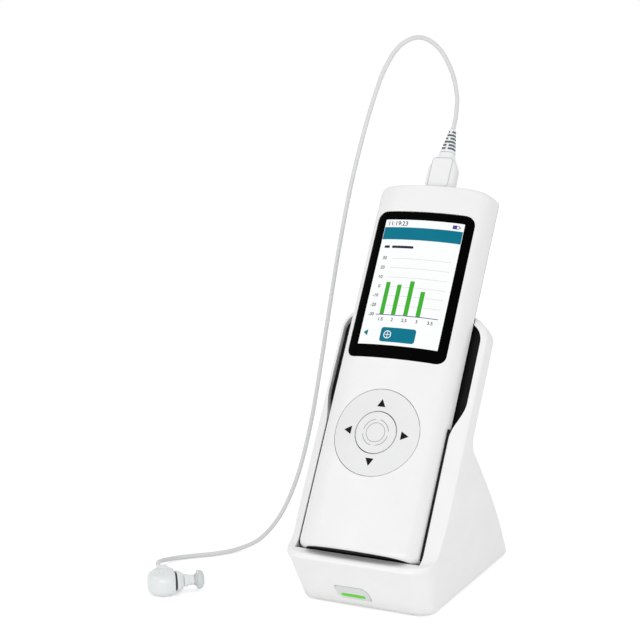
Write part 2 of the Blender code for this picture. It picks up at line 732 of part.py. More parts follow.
def probe_socket():
    outline = rounded(SOCKET_WIDTH, SOCKET_DEPTH, SOCKET_CORNER, 4, (0, -SOCKET_AXIS_DEPTH))
    body = solid("probe_socket", *along_y(outline, HANDSET_LENGTH - SOCKET_LENGTH, HANDSET_LENGTH),
                 PANEL, HANDSET)
    bore = rounded(PLUG_TONGUE_WIDTH + 2 * GAP, PLUG_TONGUE_DEPTH + 2 * GAP,
                   PLUG_TONGUE_CORNER + GAP, 3, (0, -SOCKET_AXIS_DEPTH))
    combine(body, solid("cut_bore", *along_y(bore, HANDSET_LENGTH - SOCKET_BORE_LENGTH,
                                             HANDSET_LENGTH + OVERRUN), frame=HANDSET))
    return finish(body)


def charge_pads():
    for name, side in (("left", -1), ("right", 1)):
        outline = arc((side * PAD_REACH_X, -PAD_AXIS_DEPTH), PAD_RADIUS, 0, 337.5, 15)
        solid(f"charge_pad_{name}", *along_y(outline, 0.0, PAD_LENGTH), GOLD, HANDSET)


front_shell()
rear_cover()
display_window()
display_module()
nav_rocker()
nav_ring()
center_button()
keypad_mat()
main_board()
battery()
rear_screws()
probe_socket()
charge_pads()


# ---- plug, on the handset's axes

PLUG_FOOT = HANDSET_LENGTH + GAP
RELIEF_FOOT = PLUG_FOOT + PLUG_STRAIGHT + PLUG_SHOULDER + GAP
RELIEF_TOP = RELIEF_FOOT + RELIEF_LENGTH
PLUG_AXIS = (0.0, -SOCKET_AXIS_DEPTH)


def plug_ring(y, width, depth, corner):
    return [(x, y, z) for x, z in rounded(width, depth, corner, 3, PLUG_AXIS)]


def plug_overmould():
    rings = [
        plug_ring(PLUG_FOOT, PLUG_WIDTH - 2 * PLUG_EDGE, PLUG_DEPTH - 2 * PLUG_EDGE, PLUG_CORNER),
        plug_ring(PLUG_FOOT + PLUG_EDGE, PLUG_WIDTH, PLUG_DEPTH, PLUG_CORNER),
        plug_ring(PLUG_FOOT + PLUG_STRAIGHT, PLUG_WIDTH, PLUG_DEPTH, PLUG_CORNER),
    ]
    for k in range(1, 7):
        t = k / 6
        ease = t * t * (3 - 2 * t)
        width = PLUG_WIDTH + (RELIEF_WIDE - PLUG_WIDTH) * ease
        depth = PLUG_DEPTH + (RELIEF_DEPTH - PLUG_DEPTH) * ease
        rings.append(plug_ring(PLUG_FOOT + PLUG_STRAIGHT + PLUG_SHOULDER * t, width, depth,
                               PLUG_CORNER))
    body = solid("plug_overmould", *loft(rings), CORD, HANDSET, (0, PLUG_FOOT, -SOCKET_AXIS_DEPTH))
    pad = rounded(PLUG_PAD_WIDTH, PLUG_PAD_LENGTH, PLUG_PAD_CORNER, 4,
                  (0, PLUG_FOOT + PLUG_PAD_START + PLUG_PAD_LENGTH / 2))
    front = -SOCKET_AXIS_DEPTH + PLUG_DEPTH / 2
    combine(body, solid("finger_pad", *along_z(pad, front - PLUG_DEPTH / 4, front + PLUG_PAD_RISE),
                        frame=HANDSET), "UNION")
    seat = rounded(PLUG_TONGUE_WIDTH + 2 * GAP, PLUG_TONGUE_DEPTH + 2 * GAP,
                   PLUG_TONGUE_CORNER + GAP, 3, PLUG_AXIS)
    combine(body, solid("cut_seat", *along_y(seat, PLUG_FOOT - OVERRUN,
                                             PLUG_FOOT + PLUG_TONGUE_SEAT + GAP), frame=HANDSET))
    return finish(body)


def plug_tongue():
    outline = rounded(PLUG_TONGUE_WIDTH, PLUG_TONGUE_DEPTH, PLUG_TONGUE_CORNER, 3, PLUG_AXIS)
    return solid("plug_tongue", *along_y(outline, HANDSET_LENGTH - PLUG_TONGUE_REACH,
                                         PLUG_FOOT + PLUG_TONGUE_SEAT), STEEL, HANDSET)


def relief_size(t):
    """Width and depth of the strain relief at a share of its length."""
    width = RELIEF_WIDE + (RELIEF_NARROW - RELIEF_WIDE) * t
    depth = RELIEF_DEPTH + (RELIEF_NARROW - RELIEF_DEPTH) * t
    return width, depth


def strain_relief():
    """A tapered sleeve with a row of slots, most of them split by a web down the middle."""
    pitch = RELIEF_LENGTH / (RELIEF_ROWS + 1)
    rings = []

    def add(along, inset):
        width, depth = relief_size(along / RELIEF_LENGTH)
        corner = (depth / 2 - inset) * 0.8
        rings.append(plug_ring(RELIEF_FOOT + along, width - 2 * inset, depth - 2 * inset, corner))

    add(0.0, 0.0)
    slots = []
    for row in range(1, RELIEF_ROWS + 1):
        low, high = row * pitch - RELIEF_GROOVE, row * pitch + RELIEF_GROOVE
        add(low - SKIN_OFFSET, 0.0)
        add(low + SKIN_OFFSET, RELIEF_GROOVE_DEPTH)
        add(high - SKIN_OFFSET, RELIEF_GROOVE_DEPTH)
        add(high + SKIN_OFFSET, 0.0)
        if row not in RELIEF_OPEN_ROWS:
            slots.append((low, high))
    add(RELIEF_LENGTH - PLUG_EDGE, 0.0)
    add(RELIEF_LENGTH, PLUG_EDGE / 2)
    body = solid("strain_relief", *loft(rings), CORD, HANDSET, (0, RELIEF_FOOT, -SOCKET_AXIS_DEPTH))
    for i, (low, high) in enumerate(slots):
        web = []
        for along in (low - RELIEF_GROOVE / 2, high + RELIEF_GROOVE / 2):
            half = relief_size(along / RELIEF_LENGTH)[1] / 2 - SKIN_OFFSET
            web.append([(x, RELIEF_FOOT + along, z) for x, z in
                        rounded(RELIEF_WEB, 2 * half, RELIEF_WEB / 8, 1, PLUG_AXIS)])
        combine(body, solid(f"web_{i}", *loft(web), frame=HANDSET), "UNION")
    return finish(body)


plug_overmould()
plug_tongue()
strain_relief()


# ---- ear probe, lying on the table: X along its nozzle, Y along its cord, Z up

PROBE_Z = PROBE_THICKNESS / 2 + GAP
PROBE_AXES = empty("probe_axes", Matrix.Translation((PROBE_X, PROBE_Y, PROBE_Z))
                   @ Matrix.Rotation(PROBE_TURN, 4, "Z"))


def drop_outline(inset):
    """A drop: round below, drawn in to the cord's tail above."""
    radius = PROBE_RADIUS - inset
    tail, half = PROBE_TAIL - inset / 4, PROBE_TAIL_WIDTH / 2 - inset / 4
    round_part = arc((0, 0), radius, 150, 390, 22)
    side = []
    start = round_part[-1]
    for t in (0.3, 0.6, 0.85, 1.0):
        x = start[0] + (half - start[0]) * (1 - (1 - t) ** 1.6)
        y = start[1] + (tail - start[1]) * t
        side.append((x, y))
    return round_part + side + [(-x, y) for x, y in side[::-1]]


def probe_body():
    half = PROBE_THICKNESS / 2
    levels = [(0.0, PROBE_EDGE * 0.75), (0.12, PROBE_EDGE * 0.32), (0.32, PROBE_EDGE * 0.08),
              (0.55, 0.0)]
    rings = [[(x, y, -half + half * s) for x, y in drop_outline(i)] for s, i in levels]
    rings += [[(x, y, half - half * s) for x, y in drop_outline(i)] for s, i in levels[::-1]]
    body = solid("probe_body", *loft(rings), PROBE, PROBE_AXES)
    far = PROBE_RADIUS + OVERRUN
    combine(body, solid("cut_front", *box((PROBE_CUT, -far, -far), (far, COLLAR_WIDTH / 2 + 2 * GAP, far)),
                        frame=PROBE_AXES))
    sink = lathe([(PROBE_FACE_RADIUS, half - PROBE_FACE_SINK), (PROBE_FACE_RADIUS, half + OVERRUN)], 32)
    place = Matrix.Translation((-PROBE_RADIUS * 0.14, 0, 0))
    combine(body, solid("cut_face", *moved(sink, place), frame=PROBE_AXES))
    key = rounded(PROBE_KEY_WIDTH, PROBE_KEY_LENGTH, PROBE_KEY_WIDTH / 5, 2, (-PROBE_RADIUS * 0.14, 0))
    combine(body, solid("face_key", *along_z(key, half - 3 * PROBE_FACE_SINK, half - PROBE_FACE_SINK / 4),
                        frame=PROBE_AXES), "UNION")
    return finish(body)


def along_x_frame(x):
    """Z of a turned shape becomes the probe's X, starting at x."""
    return Matrix.Translation((x, 0, 0)) @ Matrix.Rotation(math.pi / 2, 4, "Y")


SEAL_START = PROBE_CUT + GAP
COLLAR_START = SEAL_START + SEAL_THICKNESS + GAP
NOZZLE_START = COLLAR_START + COLLAR_LENGTH + GAP
TIP_START = NOZZLE_START + NOZZLE_LENGTH + GAP


def collar_ring(x, width, height):
    turn = [2 * math.pi * (k + 0.5) / COLLAR_SIDES for k in range(COLLAR_SIDES)]
    flat = math.cos(math.pi / COLLAR_SIDES)
    return [(x, width / 2 * math.cos(a) / flat, height / 2 * math.sin(a) / flat) for a in turn]


def probe_front():
    wide, high = COLLAR_WIDTH - 2 * SEAL_INSET, COLLAR_HEIGHT - 2 * SEAL_INSET
    solid("probe_seal", *loft([collar_ring(SEAL_START, wide, high),
                               collar_ring(SEAL_START + SEAL_THICKNESS, wide, high)]),
          SEAL, PROBE_AXES)
    rings = [
        collar_ring(COLLAR_START, COLLAR_WIDTH, COLLAR_HEIGHT),
        collar_ring(COLLAR_START + COLLAR_LENGTH * 0.35, COLLAR_WIDTH * 0.95, COLLAR_HEIGHT * 0.97),
        collar_ring(COLLAR_START + COLLAR_LENGTH * 0.75, COLLAR_WIDTH * 0.76, COLLAR_HEIGHT * 0.84),
        collar_ring(COLLAR_START + COLLAR_LENGTH, COLLAR_WIDTH * 0.60, COLLAR_HEIGHT * 0.74),
    ]
    solid("probe_collar", *loft(rings), PROBE, PROBE_AXES)
    nozzle = [
        (NOZZLE_RADIUS, 0.0), (NOZZLE_RADIUS, NOZZLE_LENGTH * 0.3),
        (NOZZLE_RADIUS * 0.86, NOZZLE_LENGTH * 0.45), (NOZZLE_RADIUS * 0.8, NOZZLE_LENGTH),
        (NOZZLE_STUD_RADIUS, NOZZLE_LENGTH), (NOZZLE_STUD_RADIUS, NOZZLE_LENGTH + NOZZLE_STUD_LENGTH),
    ]
    solid("probe_nozzle", *moved(lathe(nozzle, 24), along_x_frame(NOZZLE_START)), PROBE, PROBE_AXES)


def ear_tip():
    """A soft mushroom pushed over the nozzle's stud, with a bore through it."""
    bore = NOZZLE_STUD_RADIUS + GAP
    dome = []
    for k in range(6):
        a = math.radians(18 * k)
        dome.append((bore + (TIP_RADIUS - bore) * math.cos(a),
                     TIP_LENGTH * 0.42 + TIP_LENGTH * 0.58 * math.sin(a)))
    profile = [(bore, 0.0), (bore + TIP_WALL, 0.0), (bore + TIP_WALL, TIP_LENGTH * 0.22),
               (TIP_RADIUS * 0.93, TIP_LENGTH * 0.24)] + dome
    return solid("ear_tip", *moved(ring_lathe(profile, 20), along_x_frame(TIP_START)), TIP,
                 PROBE_AXES, (TIP_START, 0, 0))


SLEEVE_START = PROBE_TAIL + GAP


def probe_sleeve():
    wide, narrow = SLEEVE_WIDE / 2, SLEEVE_NARROW / 2
    profile = [(wide * 0.9, 0.0), (wide, SLEEVE_LENGTH * 0.05), (wide * 0.97, SLEEVE_LENGTH * 0.3),
               (narrow * 1.15, SLEEVE_LENGTH * 0.72), (narrow, SLEEVE_LENGTH * 0.96),
               (narrow * 0.85, SLEEVE_LENGTH)]
    frame = Matrix.Translation((0, SLEEVE_START, 0)) @ Matrix.Rotation(-math.pi / 2, 4, "X")
    return solid("probe_sleeve", *moved(lathe(profile, 20), frame), SLEEVE, PROBE_AXES)


probe_body()
probe_front()
ear_tip()
probe_sleeve()


# ---- cord, from the strain relief over and down to the table and on to the probe

def probe_cord():
    lean = lean_matrix()
    axis = lean.to_3x3() @ Vector((0, 1, 0))
    leave = lean @ Vector((0, RELIEF_TOP + GAP, -SOCKET_AXIS_DEPTH))
    turn = Matrix.Rotation(PROBE_TURN, 3, "Z") @ Vector((0, 1, 0))
    arrive = Vector((PROBE_X, PROBE_Y, PROBE_Z)) + turn * (SLEEVE_START + SLEEVE_LENGTH + GAP)
    first = leave + axis * 6 * CORD_RADIUS
    last = arrive + turn * 4 * CORD_RADIUS
    line = smooth_line([first, *CORD_ROUTE, last], 12)
    middle, length = even_line(line, CORD_POINTS)
    points = [tuple(leave), tuple(leave + axis * 3 * CORD_RADIUS), *middle,
              tuple(arrive + turn * 2 * CORD_RADIUS), tuple(arrive)]
    curve = bpy.data.curves.new("probe_cord", "CURVE")
    curve.dimensions = "3D"
    curve.bevel_depth = CORD_RADIUS
    curve.bevel_resolution = 2
    curve.use_fill_caps = True
    spline = curve.splines.new("POLY")
    spline.points.add(len(points) - 1)
    for node, place in zip(spline.points, points):
        node.co = (*place, 1.0)
    curve.materials.append(CORD)
    made = bpy.data.objects.new("probe_cord", curve)
    bpy.context.scene.collection.objects.link(made)
    print("cord length", round(length + 10 * CORD_RADIUS, 4))
    return made


probe_cord()


# ---- dock housing

def wing_y(depth, z):
    """Y of the plane at this depth behind the handset's face, at a height above the table."""
    return HANDSET_FRONT_Y + (z - HANDSET_FOOT_Z) * math.tan(LEAN) + depth / math.cos(LEAN)


def half_width_at(z):
    share = min((z - FOOT_HEIGHT) / DOCK_TAPER_HEIGHT, 1.0)
    return DOCK_HALF_WIDTH - DOCK_FOOT_NARROWING * (1 - share) ** 2


def front_y_at(z):
    share = (z - FOOT_HEIGHT) / (DOCK_RIM_Z - FOOT_HEIGHT)
    return DOCK_FRONT_FOOT_Y + (DOCK_RIM_Y - DOCK_FRONT_FOOT_Y) * min(share, 1.0)


def rear_y_at(z):
    """The leg's back falls straight from the kink to the foot; above it is the backrest."""
    kink = wing_y(BACKREST_DEPTH, KINK_Z)
    share = (z - FOOT_HEIGHT) / (KINK_Z - FOOT_HEIGHT)
    return max(DOCK_REAR_Y + (kink - DOCK_REAR_Y) * share, wing_y(BACKREST_DEPTH, z))


def plan_ring(z, front, rear, half, front_corner, rear_corner, inset=0.0, lip=0.0):
    """Outline of the dock at one height. The lip stands proud in front and fades at the sides."""
    half, front, rear = half - inset, front + inset, rear - inset
    front_corner = max(front_corner - inset, inset)
    ring = []
    for side in (1, -1):
        centre = (side * (half - front_corner), front + front_corner)
        corner = []
        for k in range(ARC_STEPS + 1):
            a = math.radians(-90 + 90 * k / ARC_STEPS)
            out = front_corner + lip * max(0.0, -math.sin(a)) ** 0.7
            corner.append((centre[0] + side * out * math.cos(a), centre[1] + out * math.sin(a), z))
        back = [(side * (x + half - rear_corner), y + rear - rear_corner, z)
                for x, y in arc((0, 0), rear_corner, 0, 90, 4)]
        points = corner + back
        ring += points if side == 1 else points[::-1]
    return ring


def corner_at(z):
    share = min(max((z - FOOT_HEIGHT) / (DOCK_RIM_Z - FOOT_HEIGHT), 0.0), 1.0)
    return DOCK_FRONT_CORNER_LOW + (DOCK_FRONT_CORNER_HIGH - DOCK_FRONT_CORNER_LOW) * share


def dock_form():
    """The outer form: a loft of plan outlines from the foot to above the backrest."""
    rings = [plan_ring(FOOT_HEIGHT, front_y_at(FOOT_HEIGHT), rear_y_at(FOOT_HEIGHT),
                       half_width_at(FOOT_HEIGHT), corner_at(FOOT_HEIGHT), DOCK_REAR_CORNER,
                       DOCK_FOOT_EDGE)]
    lip_foot = LEDGE_Z - LIP_ROUND - LIP_HEIGHT
    levels = [(FOOT_HEIGHT + DOCK_FOOT_EDGE, 0.0)]
    levels += [(FOOT_HEIGHT + (lip_foot - FOOT_HEIGHT) * s, 0.0) for s in (0.33, 0.66, 1.0)]
    levels += [(lip_foot + LIP_PROUD / 3, LIP_PROUD * 0.85), (lip_foot + LIP_PROUD, LIP_PROUD)]
    for a in (0, 30, 55, 75, 92):
        turn = math.radians(a)
        levels.append((LEDGE_Z - LIP_ROUND + LIP_ROUND * math.sin(turn),
                       LIP_PROUD - LIP_ROUND * (1 - math.cos(turn))))
    levels.sort()
    levels[-1] = (LEDGE_Z + SKIN_OFFSET, levels[-1][1])
    for z, lip in levels:
        rings.append(plan_ring(z, front_y_at(z), rear_y_at(z), half_width_at(z), corner_at(z),
                               DOCK_REAR_CORNER, 0.0, lip))
    top = HANDSET_FOOT_Z + (BACKREST_TOP + OVERRUN) * math.cos(LEAN)
    heights = [LEDGE_Z + WING_FILLET / 2]
    heights += [DOCK_TAPER_HEIGHT * s for s in (0.7, 0.85, 1.014)]
    heights += [KINK_Z - KINK_ROUND, KINK_Z + KINK_ROUND, (KINK_Z + top) / 2, top]
    for z in heights:
        front = wing_y(WING_INNER_DEPTH, z) - DOCK_FRONT_CORNER_HIGH
        rings.append(plan_ring(z, front, rear_y_at(z), half_width_at(z), DOCK_FRONT_CORNER_HIGH,
                               DOCK_REAR_CORNER))
    return rings


def front_space():
    """What lies in front of the wings: sloped wing faces that flow into the ledge by a fillet."""
    s, c = math.sin(LEAN), math.cos(LEAN)
    slope = (WING_OUTER_DEPTH - WING_INNER_DEPTH)
    far = DOCK_HALF_WIDTH + OVERRUN
    shoulder = DOCK_HALF_WIDTH - WING_ROUND
    line = [(WING_INNER_X, WING_INNER_DEPTH), (shoulder, WING_OUTER_DEPTH)]
    for a in (25, 50, 75):
        turn = math.radians(a)
        line.append((shoulder + WING_ROUND * math.sin(turn),
                     WING_OUTER_DEPTH + WING_ROUND * (1 - math.cos(turn)) + slope / 6 * a / 75))
    line.append((far, line[-1][1] + far - line[-1][0]))
    rise = WING_FILLET * (1 - s)
    levels = [(rise * t, t) for t in (0.0, 0.08, 0.22, 0.42, 0.68, 1.0)]
    top = HANDSET_FOOT_Z + (BACKREST_TOP + BACKREST_CORNER + BAY_CORNER) * c
    rings = []
    for height, _ in levels + [(top - LEDGE_Z, 1.0)]:
        z = LEDGE_Z + height
        forward = 0.0
        if height < rise:
            reach = math.sqrt(WING_FILLET**2 - (WING_FILLET - height) ** 2)
            centre = -WING_FILLET * (1 - s) / c
            forward = height * s / c - (centre + reach)
        right = [(x, wing_y(depth, z) - forward, z) for x, depth in line]
        left = [(-x, y, zz) for x, y, zz in right[::-1]]
        deep = wing_y(0.0, z) - DOCK_HALF_WIDTH
        rings.append([(-far, deep, z), (far, deep, z)] + right[::-1] + left[::-1])
    return loft(rings)


def backrest_outline(inset, top_inset):
    """The backrest's outline on the handset's axes, rounded at the top."""
    half, top = DOCK_HALF_WIDTH + SKIN_OFFSET - inset, BACKREST_TOP - inset - top_inset
    corner = BACKREST_CORNER - inset
    low = BAY_WIDENS_AT / 2
    right = [(half, low)] + arc((half - corner, top - corner), corner, 0, 90, ARC_STEPS)
    return right + [(-x, y) for x, y in right[::-1]]


def top_space():
    """What lies round the backrest's rounded top, with the wings' slope carried round it."""
    slope = WING_OUTER_DEPTH - WING_INNER_DEPTH
    flat = DOCK_HALF_WIDTH - WING_ROUND - WING_INNER_X
    ahead = 1.4
    steps = [(WING_INNER_DEPTH - slope * (ahead - 1), WING_ROUND + flat * ahead),
             (WING_OUTER_DEPTH, WING_ROUND)]
    for a in (25, 50, 75):
        turn = math.radians(a)
        steps.append((WING_OUTER_DEPTH + WING_ROUND * (1 - math.cos(turn)) + slope / 6 * a / 75,
                      WING_ROUND * (1 - math.sin(turn))))
    steps.append((steps[-1][0] + WING_ROUND / 2, 0.0))
    rings = [[(x, y, -depth) for x, y in backrest_outline(inset, 0.0)] for depth, inset in steps]
    for a in (0, 30, 60, 90):
        turn = math.radians(a)
        depth = BACKREST_DEPTH - BACKREST_EDGE * (1 - math.sin(turn)) + GAP
        rings.append([(x, y, -depth) for x, y in
                      backrest_outline(0.0, BACKREST_EDGE * (1 - math.cos(turn)))])
    rings.append([(x, y, -BACKREST_DEPTH - OVERRUN) for x, y in backrest_outline(0.0, BACKREST_EDGE)])
    keep = solid("keep_backrest", *loft(rings), frame=HANDSET)
    far = DOCK_HALF_WIDTH + OVERRUN
    block = solid("top_block", *box((-far, BAY_WIDENS_AT * 0.8, -BACKREST_DEPTH - OVERRUN / 2),
                                    (far, BACKREST_TOP + BACKREST_CORNER + BAY_CORNER,
                                     -WING_INNER_DEPTH + slope * (ahead - 1) / 2)), frame=HANDSET)
    combine(block, keep)
    return finish(block)


def bay_outline(inset, low):
    """The bay's opening: narrow beside the handset's foot, then an S-shaped flare to its head."""
    narrow, wide = BAY_HALF_WIDTH - inset, BAY_WIDE_HALF_WIDTH - inset
    right = [(narrow, low), (narrow, BAY_WIDENS_AT)]
    for k in range(1, 11):
        t = k / 10
        right.append((narrow + (wide - narrow) * t * t * (3 - 2 * t),
                      BAY_WIDENS_AT + (BAY_WIDE_AT - BAY_WIDENS_AT) * t))
    corner = BAY_CORNER - inset
    right += arc((wide - corner, BAY_TOP - inset - corner), corner, 0, 90, ARC_STEPS)
    return right + [(-x, y) for x, y in right[::-1]]


def handset_space(name, low, high):
    """The room that the handset's back needs as it is lifted out."""
    grown = HALF + SLIDE_CLEARANCE
    depth = HANDSET_DEPTH + SLIDE_CLEARANCE
    back = [(x * HALF + SLIDE_CLEARANCE, -(SEAM_DEPTH + (depth - SEAM_DEPTH) * z))
            for x, z in REAR_SIDE_SHARES]
    right = [(grown, OVERRUN)] + back
    outline = right + [(-x, z) for x, z in right[::-1]]
    return solid(name, *along_y(outline, low, high), frame=HANDSET)


BASE_TOP = FOOT_HEIGHT + BASE_THICKNESS
BASE_HALF_WIDTH = half_width_at(FOOT_HEIGHT) - DOCK_WALL - GAP
BASE_FRONT = DOCK_FRONT_FOOT_Y + DOCK_WALL + GAP
BASE_REAR = DOCK_REAR_Y - DOCK_WALL * 1.5 - GAP


def base_outline(grow):
    return rounded(2 * (BASE_HALF_WIDTH + grow), BASE_REAR - BASE_FRONT + 2 * grow,
                   BASE_CORNER + grow, 4, (0, (BASE_REAR + BASE_FRONT) / 2))


def base_screw_places():
    x = BASE_HALF_WIDTH - BASE_SCREW_INSET_X
    front, rear = BASE_FRONT + BASE_SCREW_INSET_FRONT, BASE_REAR - BASE_SCREW_INSET_REAR
    return [(-x, front), (x, front), (-x, rear), (x, rear)]


def foot_places():
    x = BASE_HALF_WIDTH - RUBBER_INSET_X
    front, rear = BASE_FRONT + RUBBER_INSET_FRONT, BASE_REAR - RUBBER_INSET_REAR
    return [(-x, front), (x, front), (-x, rear), (x, rear)]


def room_below():
    """The hollow over the base plate, and the wedge-shaped hollow behind the bay's back wall."""
    outline = base_outline(GAP)
    low = along_z(outline, -OVERRUN, BASE_TOP + GAP)
    wall = DOCK_WALL
    rings = []
    for z in (BASE_TOP, (BASE_TOP + DOCK_CEILING_Z) / 2, DOCK_CEILING_Z):
        rings.append(plan_ring(z, front_y_at(z) + wall, rear_y_at(z) - wall * 1.4,
                               half_width_at(z) - wall, DOCK_FRONT_CORNER_LOW - wall, wall / 2))
    wedge = []
    for z in (DOCK_CEILING_Z - wall, WEDGE_TOP_Z * 0.5, WEDGE_TOP_Z * 0.8, WEDGE_TOP_Z):
        front = wing_y(BAY_DEPTH, z) + wall * 1.2
        wedge.append(plan_ring(z, front, rear_y_at(z) - wall * 1.7, half_width_at(z) - wall * 1.3,
                               wall / 2, wall / 2))
    return low, loft(rings), loft(wedge)


FACE_TILT = math.atan2(DOCK_FRONT_FOOT_Y - DOCK_RIM_Y, DOCK_RIM_Z - FOOT_HEIGHT)


def face_frame():
    """Axes on the dock's leaning front face: X across, Y up the face, Z out of it."""
    z = FOOT_HEIGHT + (DOCK_RIM_Z - FOOT_HEIGHT) * BADGE_MIDDLE_SHARE
    return (Matrix.Translation((BADGE_MIDDLE_X, front_y_at(z), z))
            @ Matrix.Rotation(math.pi / 2 + FACE_TILT, 4, "X"))


def badge_outline(grow):
    return [(x * (BADGE_WIDTH + 2 * grow), y * (BADGE_HEIGHT + 2 * grow)) for x, y in BADGE_SHARES]


def light_outline(grow):
    return rounded(LIGHT_WIDTH + 2 * grow, LIGHT_HEIGHT + 2 * grow, LIGHT_HEIGHT / 2.2 + grow, 3,
                   (0, -LIGHT_DROP))


FACE = empty("dock_face_axes", face_frame())


def inlet_face_y():
    return rear_y_at(INLET_Z + INLET_HEIGHT / 2 + INLET_MARGIN) - INLET_RECESS / 2


def dock_housing():
    body = solid("dock_housing", *loft(dock_form()), DOCK_WHITE, DOCK)
    combine(body, solid("front_space", *front_space(), frame=DOCK))
    combine(body, top_space())
    bay = bay_outline(0.0, -BAY_SILL)
    combine(body, solid("bay", *along_z(bay, -BAY_DEPTH, BACKREST_DEPTH), frame=HANDSET))
    floor = -LINER_FLOOR - 2 * GAP
    combine(body, solid("bay_floor", *box((-BAY_HALF_WIDTH, floor, -BAY_DEPTH + SKIN_OFFSET),
                                          (BAY_HALF_WIDTH, OVERRUN, -LINER_FLOOR_FRONT_DEPTH + GAP)),
                        frame=HANDSET))
    combine(body, handset_space("lift_space", BAY_TOP - BAY_CORNER, BACKREST_TOP + OVERRUN))
    for name, shape in zip(("room_base", "room_low", "room_wedge"), room_below()):
        combine(body, solid(name, *shape, frame=DOCK))
    half, deep = CONTACT_WIDTH / 2 + GAP, CONTACT_DEPTH / 2 + GAP
    combine(body, solid("contact_seat", *box(
        (-half, floor - CONTACT_HEIGHT - GAP, -PAD_AXIS_DEPTH - deep),
        (half, OVERRUN, -PAD_AXIS_DEPTH + deep)), frame=HANDSET))
    foot = lean_matrix() @ Vector((0, floor - CONTACT_HEIGHT, -PAD_AXIS_DEPTH - deep / 2))
    reach = CONTACT_SHAFT_WIDTH / 2
    combine(body, solid("wire_shaft", *box(
        (-reach, foot.y - CONTACT_SHAFT_DEPTH / 2, DOCK_CEILING_Z - DOCK_WALL),
        (reach, foot.y + CONTACT_SHAFT_DEPTH / 2, foot.z + CONTACT_HEIGHT / 2)), frame=DOCK))
    for i, (x, y) in enumerate(base_screw_places()):
        boss, hole = SCREW_SHAFT_RADIUS + GAP + BOSS_WALL, SCREW_SHAFT_RADIUS + GAP
        place = Matrix.Translation((x, y, 0))
        post = lathe([(boss, BASE_TOP + GAP), (boss, DOCK_CEILING_Z)], 16)
        combine(body, solid(f"post_{i}", *moved(post, place), frame=DOCK), "UNION")
        ends = sorted((x, math.copysign(half_width_at(BASE_TOP) - DOCK_WALL / 4, x)))
        rib = box((ends[0], y - BOSS_WALL / 2, BASE_TOP + 2 * GAP),
                  (ends[1], y + BOSS_WALL / 2, DOCK_CEILING_Z - GAP))
        combine(body, solid(f"post_rib_{i}", *rib, frame=DOCK), "UNION")
        bore = lathe([(hole, 0.0), (hole, FOOT_HEIGHT + BASE_SCREW_LENGTH + 2 * GAP)], 12)
        combine(body, solid(f"post_bore_{i}", *moved(bore, place), frame=DOCK))
    combine(body, solid("badge_seat", *along_z(badge_outline(GAP), -BADGE_THICKNESS + BADGE_PROUD - GAP,
                                               OVERRUN), frame=FACE))
    combine(body, solid("light_hole", *along_z(light_outline(GAP), -LIGHT_DEPTH - GAP, OVERRUN),
                        frame=FACE))
    face = inlet_face_y()
    wide, high = INLET_WIDTH / 2 + INLET_MARGIN, INLET_HEIGHT / 2 + INLET_MARGIN / 2
    combine(body, solid("inlet_recess", *along_y(rounded(2 * wide, 2 * high, INLET_MARGIN / 2, 3,
                                                         (0, INLET_Z)), face, DOCK_REAR_Y + OVERRUN),
                        frame=DOCK))
    hole = rounded(INLET_WIDTH + 2 * GAP, INLET_HEIGHT + 2 * GAP, INLET_HEIGHT / 2, 5, (0, INLET_Z))
    combine(body, solid("inlet_hole", *along_y(hole, face - INLET_LENGTH - DOCK_WALL, face + OVERRUN),
                        frame=DOCK))
    return finish(body)


def cradle_liner():
    outline = bay_outline(GAP, -LINER_FLOOR - GAP)
    body = solid("cradle_liner", *along_z(outline, -BAY_DEPTH + GAP, -LINER_FRONT_DEPTH), BLACK,
                 HANDSET)
    half = BAY_HALF_WIDTH - GAP
    combine(body, solid("liner_floor", *box((-half + SKIN_OFFSET, -LINER_FLOOR - GAP + SKIN_OFFSET,
                                             -BAY_DEPTH + 2 * GAP),
                                            (half - SKIN_OFFSET, 0.0, -LINER_FLOOR_FRONT_DEPTH)),
                        frame=HANDSET), "UNION")
    combine(body, handset_space("liner_space", -GAP, BACKREST_TOP + OVERRUN))
    for i, side in enumerate((-1, 1)):
        hole = arc((side * PAD_REACH_X, -PAD_AXIS_DEPTH), PIN_RADIUS + PIN_BORE_CLEARANCE, 0, 330, 11)
        combine(body, solid(f"pin_hole_{i}", *along_y(hole, -LINER_FLOOR - OVERRUN, OVERRUN),
                            frame=HANDSET))
    return finish(body)


def contact_block():
    top = -LINER_FLOOR - 2 * GAP
    outline = rounded(CONTACT_WIDTH, CONTACT_DEPTH, CONTACT_CORNER, 2, (0, -PAD_AXIS_DEPTH))
    body = solid("contact_block", *along_y(outline, top - CONTACT_HEIGHT, top), BLACK, HANDSET)
    for i, side in enumerate((-1, 1)):
        bore = arc((side * PAD_REACH_X, -PAD_AXIS_DEPTH), PIN_RADIUS + PIN_BORE_CLEARANCE, 0, 330, 11)
        low = -GAP - PIN_LENGTH - PIN_TRAVEL - GAP
        combine(body, solid(f"pin_bore_{i}", *along_y(bore, low, OVERRUN), frame=HANDSET))
    return finish(body)


def charge_pins():
    for name, side in (("left", -1), ("right", 1)):
        tip = [(PIN_RADIUS, 0.0), (PIN_RADIUS, PIN_LENGTH - PIN_RADIUS / 2),
               (PIN_RADIUS * 0.6, PIN_LENGTH)]
        place = (Matrix.Translation((side * PAD_REACH_X, -GAP - PIN_LENGTH, -PAD_AXIS_DEPTH))
                 @ Matrix.Rotation(-math.pi / 2, 4, "X"))
        solid(f"charge_pin_{name}", *moved(lathe(tip, 12), place), GOLD, HANDSET,
              (side * PAD_REACH_X, -GAP, -PAD_AXIS_DEPTH))


